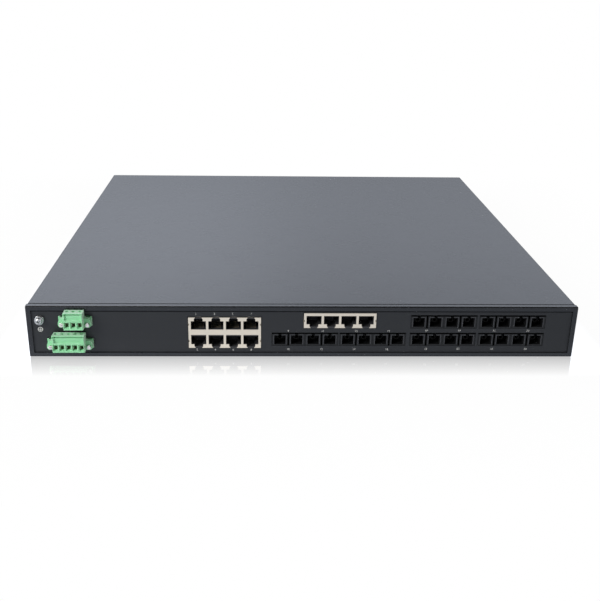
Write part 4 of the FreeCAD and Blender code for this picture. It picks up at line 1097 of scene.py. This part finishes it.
# Glow of the floor and of the backdrop in glossy faces, by height on the wall and across it
FLOOR_GLOW = 0.95
GLOW_FALL = 0.16
GLOW_SPAN = 0.3
GLOW_HEIGHTS = (0.5, 1.8)
GLOW_LEVELS = (0.3, 2.12)


def map_range(tree, value, start, end, first, last):
    """Value carried from one range to another, held at both ends."""
    values = {"Value": value, "From Min": start, "From Max": end, "To Min": first, "To Max": last}
    return add_node(tree, "ShaderNodeMapRange", values).outputs[0]


def mix_values(tree, share, first, second):
    return add_node(tree, "ShaderNodeMix", {0: share, 2: first, 3: second}).outputs[0]


def glow_level(tree, axes, on_floor):
    """Level of the backdrop in glossy faces: less low on the wall, and less to the right elsewhere."""
    fall = map_range(tree, axes.outputs[2], *GLOW_HEIGHTS, 0.0, GLOW_FALL)
    fall = mix_values(tree, on_floor, fall, GLOW_FALL)
    across = calculate(tree, "TANH", calculate(tree, "DIVIDE", axes.outputs[0], GLOW_SPAN))
    across = calculate(tree, "SUBTRACT", 1.0, calculate(tree, "MULTIPLY", across, fall))
    up = map_range(tree, axes.outputs[2], *GLOW_HEIGHTS, *GLOW_LEVELS)
    level = mix_values(tree, on_floor, up, FLOOR_GLOW)
    return calculate(tree, "MULTIPLY", across, level)


def floor_material(look):
    """Paper that is white to the camera, glows in glossy faces and mirrors the foot of the object."""
    material = bpy.data.materials.new("studio_paper")
    material.use_nodes = True
    tree = material.node_tree
    tree.nodes.remove(tree.nodes["Principled BSDF"])
    spot = add_node(tree, "ShaderNodeNewGeometry").outputs["Position"]
    axes = add_node(tree, "ShaderNodeSeparateXYZ", {0: spot})
    on_floor = calculate(tree, "LESS_THAN", axes.outputs[2], FLOOR_LIMIT)
    reach = [
        calculate(tree, "SUBTRACT", calculate(tree, "ABSOLUTE", axes.outputs[n]), HALF_FOOTPRINT)
        for n in (0, 1)
    ]
    away = calculate(tree, "MAXIMUM", *reach)
    rays = add_node(tree, "ShaderNodeLightPath")
    paper = add_node(tree, "ShaderNodeBsdfDiffuse", {"Color": opaque(look.floor)})
    white = add_node(tree, "ShaderNodeEmission", {"Color": (1, 1, 1, 1), "Strength": 1.0})
    seen = calculate(
        tree, "ADD", rays.outputs["Is Camera Ray"], rays.outputs["Is Transmission Ray"], clamp=True
    )
    share = map_range(tree, away, 0.0, WHITE_REACH, WHITE_SHARE, 1.0)
    share = calculate(tree, "MULTIPLY", seen, share)
    ground = add_node(tree, "ShaderNodeMixShader", {0: share, 1: paper.outputs[0], 2: white.outputs[0]})
    glow = add_node(
        tree,
        "ShaderNodeEmission",
        {"Color": opaque(look.glow), "Strength": glow_level(tree, axes, on_floor)},
    )
    glossy = rays.outputs["Is Glossy Ray"]
    ground = add_node(
        tree, "ShaderNodeMixShader", {0: glossy, 1: ground.outputs[0], 2: glow.outputs[0]}
    )
    fade = map_range(tree, away, 0.0, MIRROR_REACH, MIRROR_SHARE, 0.0)
    fade = calculate(tree, "MULTIPLY", fade, on_floor)
    polish = add_node(
        tree, "ShaderNodeBsdfGlossy", {"Color": (1, 1, 1, 1), "Roughness": MIRROR_ROUGHNESS}
    )
    whole = add_node(tree, "ShaderNodeMixShader", {0: fade, 1: ground.outputs[0], 2: polish.outputs[0]})
    tree.links.new(whole.outputs[0], tree.nodes["Material Output"].inputs["Surface"])
    return material


def add_sweep(look):
    """Floor that bends up into a round backdrop."""
    bend = look.sweep_bend
    flat = look.sweep_radius - bend
    profile = [(0.0, 0.0), (flat * SWEEP_RING, 0.0), (flat, 0.0)]
    for n in range(1, SWEEP_STEPS + 1):
        turn = math.pi / 2 * n / SWEEP_STEPS
        profile.append((flat + bend * math.sin(turn), bend - bend * math.cos(turn)))
    profile.append((look.sweep_radius, look.sweep_height))
    form = turned([(radius / MM, height / MM) for radius, height in profile], SWEEP_SEGMENTS)
    made = to_object("studio_sweep", form)
    made.location.z = -SWEEP_DROP
    made.data.materials.append(floor_material(look))
    made.data.shade_smooth()


def add_lamp(name, spot, power):
    """Round soft lamp that looks at the front of the object."""
    data = bpy.data.lights.new(name, "AREA")
    data.shape = "DISK"
    data.size = LAMP_SIZE
    data.energy = power
    lamp = bpy.data.objects.new(name, data)
    lamp.location = spot
    lamp.rotation_euler = (Vector(LAMP_AIM) - Vector(spot)).to_track_quat("-Z", "Y").to_euler()
    bpy.context.scene.collection.objects.link(lamp)


def add_camera():
    """Camera at the photograph's viewing angle."""
    data = bpy.data.cameras.new("photo_camera")
    data.lens = CAMERA_LENS
    data.sensor_width = SENSOR
    data.shift_x = CAMERA_SHIFT
    camera = bpy.data.objects.new("photo_camera", data)
    level = math.cos(CAMERA_PITCH)
    forward = Vector(
        (math.sin(CAMERA_YAW) * level, math.cos(CAMERA_YAW) * level, -math.sin(CAMERA_PITCH))
    )
    flat_right = forward.cross(Vector((0, 0, 1))).normalized()
    flat_up = flat_right.cross(forward)
    right = flat_right * math.cos(CAMERA_ROLL) + flat_up * math.sin(CAMERA_ROLL)
    up = flat_up * math.cos(CAMERA_ROLL) - flat_right * math.sin(CAMERA_ROLL)
    axes = Matrix((right, up, -forward)).transposed().to_4x4()
    camera.matrix_world = Matrix.Translation(CAMERA_PLACE) @ axes
    bpy.context.scene.collection.objects.link(camera)
    bpy.context.scene.camera = camera


class RACKSWITCH_OT_stage(bpy.types.Operator):
    """White sweep, soft lamps, dim room and the camera"""

    bl_idname = "rack_switch.add_stage"
    bl_label = "Stage"

    def execute(self, context):
        look = context.scene.switch_stage
        context.scene.view_settings.view_transform = "Standard"
        add_sweep(look)
        add_lamp("key_lamp", KEY_PLACE, look.key_power)
        add_lamp("fill_lamp", FILL_PLACE, look.fill_power)
        add_lamp("top_lamp", TOP_PLACE, look.top_power)
        world = bpy.data.worlds.new("studio_room")
        world.use_nodes = True
        back = world.node_tree.nodes["Background"]
        back.inputs["Color"].default_value = (1.0, 1.0, 1.0, 1.0)
        back.inputs["Strength"].default_value = look.surround
        context.scene.world = world
        add_camera()
        return {"FINISHED"}


class RACKSWITCH_PT_panel(bpy.types.Panel):
    """Lists the steps that dress the switch, and their settings"""

    bl_idname = "RACKSWITCH_PT_panel"
    bl_label = "Rack Switch"
    bl_space_type = "VIEW_3D"
    bl_region_type = "UI"
    bl_category = "Rack Switch"

    def draw(self, context):
        for operator in OPERATORS:
            self.layout.operator(operator.bl_idname)
        for name, group in SETTINGS.items():
            column = self.layout.column()
            for setting in group.__annotations__:
                column.prop(getattr(context.scene, name), setting)


OPERATORS = (
    RACKSWITCH_OT_stage,
    RACKSWITCH_OT_case,
    RACKSWITCH_OT_fasteners,
    RACKSWITCH_OT_earth,
    RACKSWITCH_OT_copper,
    RACKSWITCH_OT_fibre,
    RACKSWITCH_OT_terminals,
    RACKSWITCH_OT_inside,
    RACKSWITCH_OT_print,
)


def register():
    for group in (*SETTINGS.values(), *OPERATORS, RACKSWITCH_PT_panel):
        bpy.utils.register_class(group)
    for name, group in SETTINGS.items():
        setattr(bpy.types.Scene, name, PointerProperty(type=group))


def unregister():
    for name in SETTINGS:
        delattr(bpy.types.Scene, name)
    for group in (RACKSWITCH_PT_panel, *reversed(OPERATORS), *SETTINGS.values()):
        bpy.utils.unregister_class(group)


def main():
    register()
    bpy.ops.rack_switch.add_stage()
    bpy.ops.rack_switch.dress_case()
    bpy.ops.rack_switch.add_fasteners()
    bpy.ops.rack_switch.add_earth_terminal()
    bpy.ops.rack_switch.dress_copper_ports()
    bpy.ops.rack_switch.add_fibre_ports()
    bpy.ops.rack_switch.add_terminals()
    bpy.ops.rack_switch.dress_boards()
    bpy.ops.rack_switch.add_print()


if __name__ == "__main__":
    main()
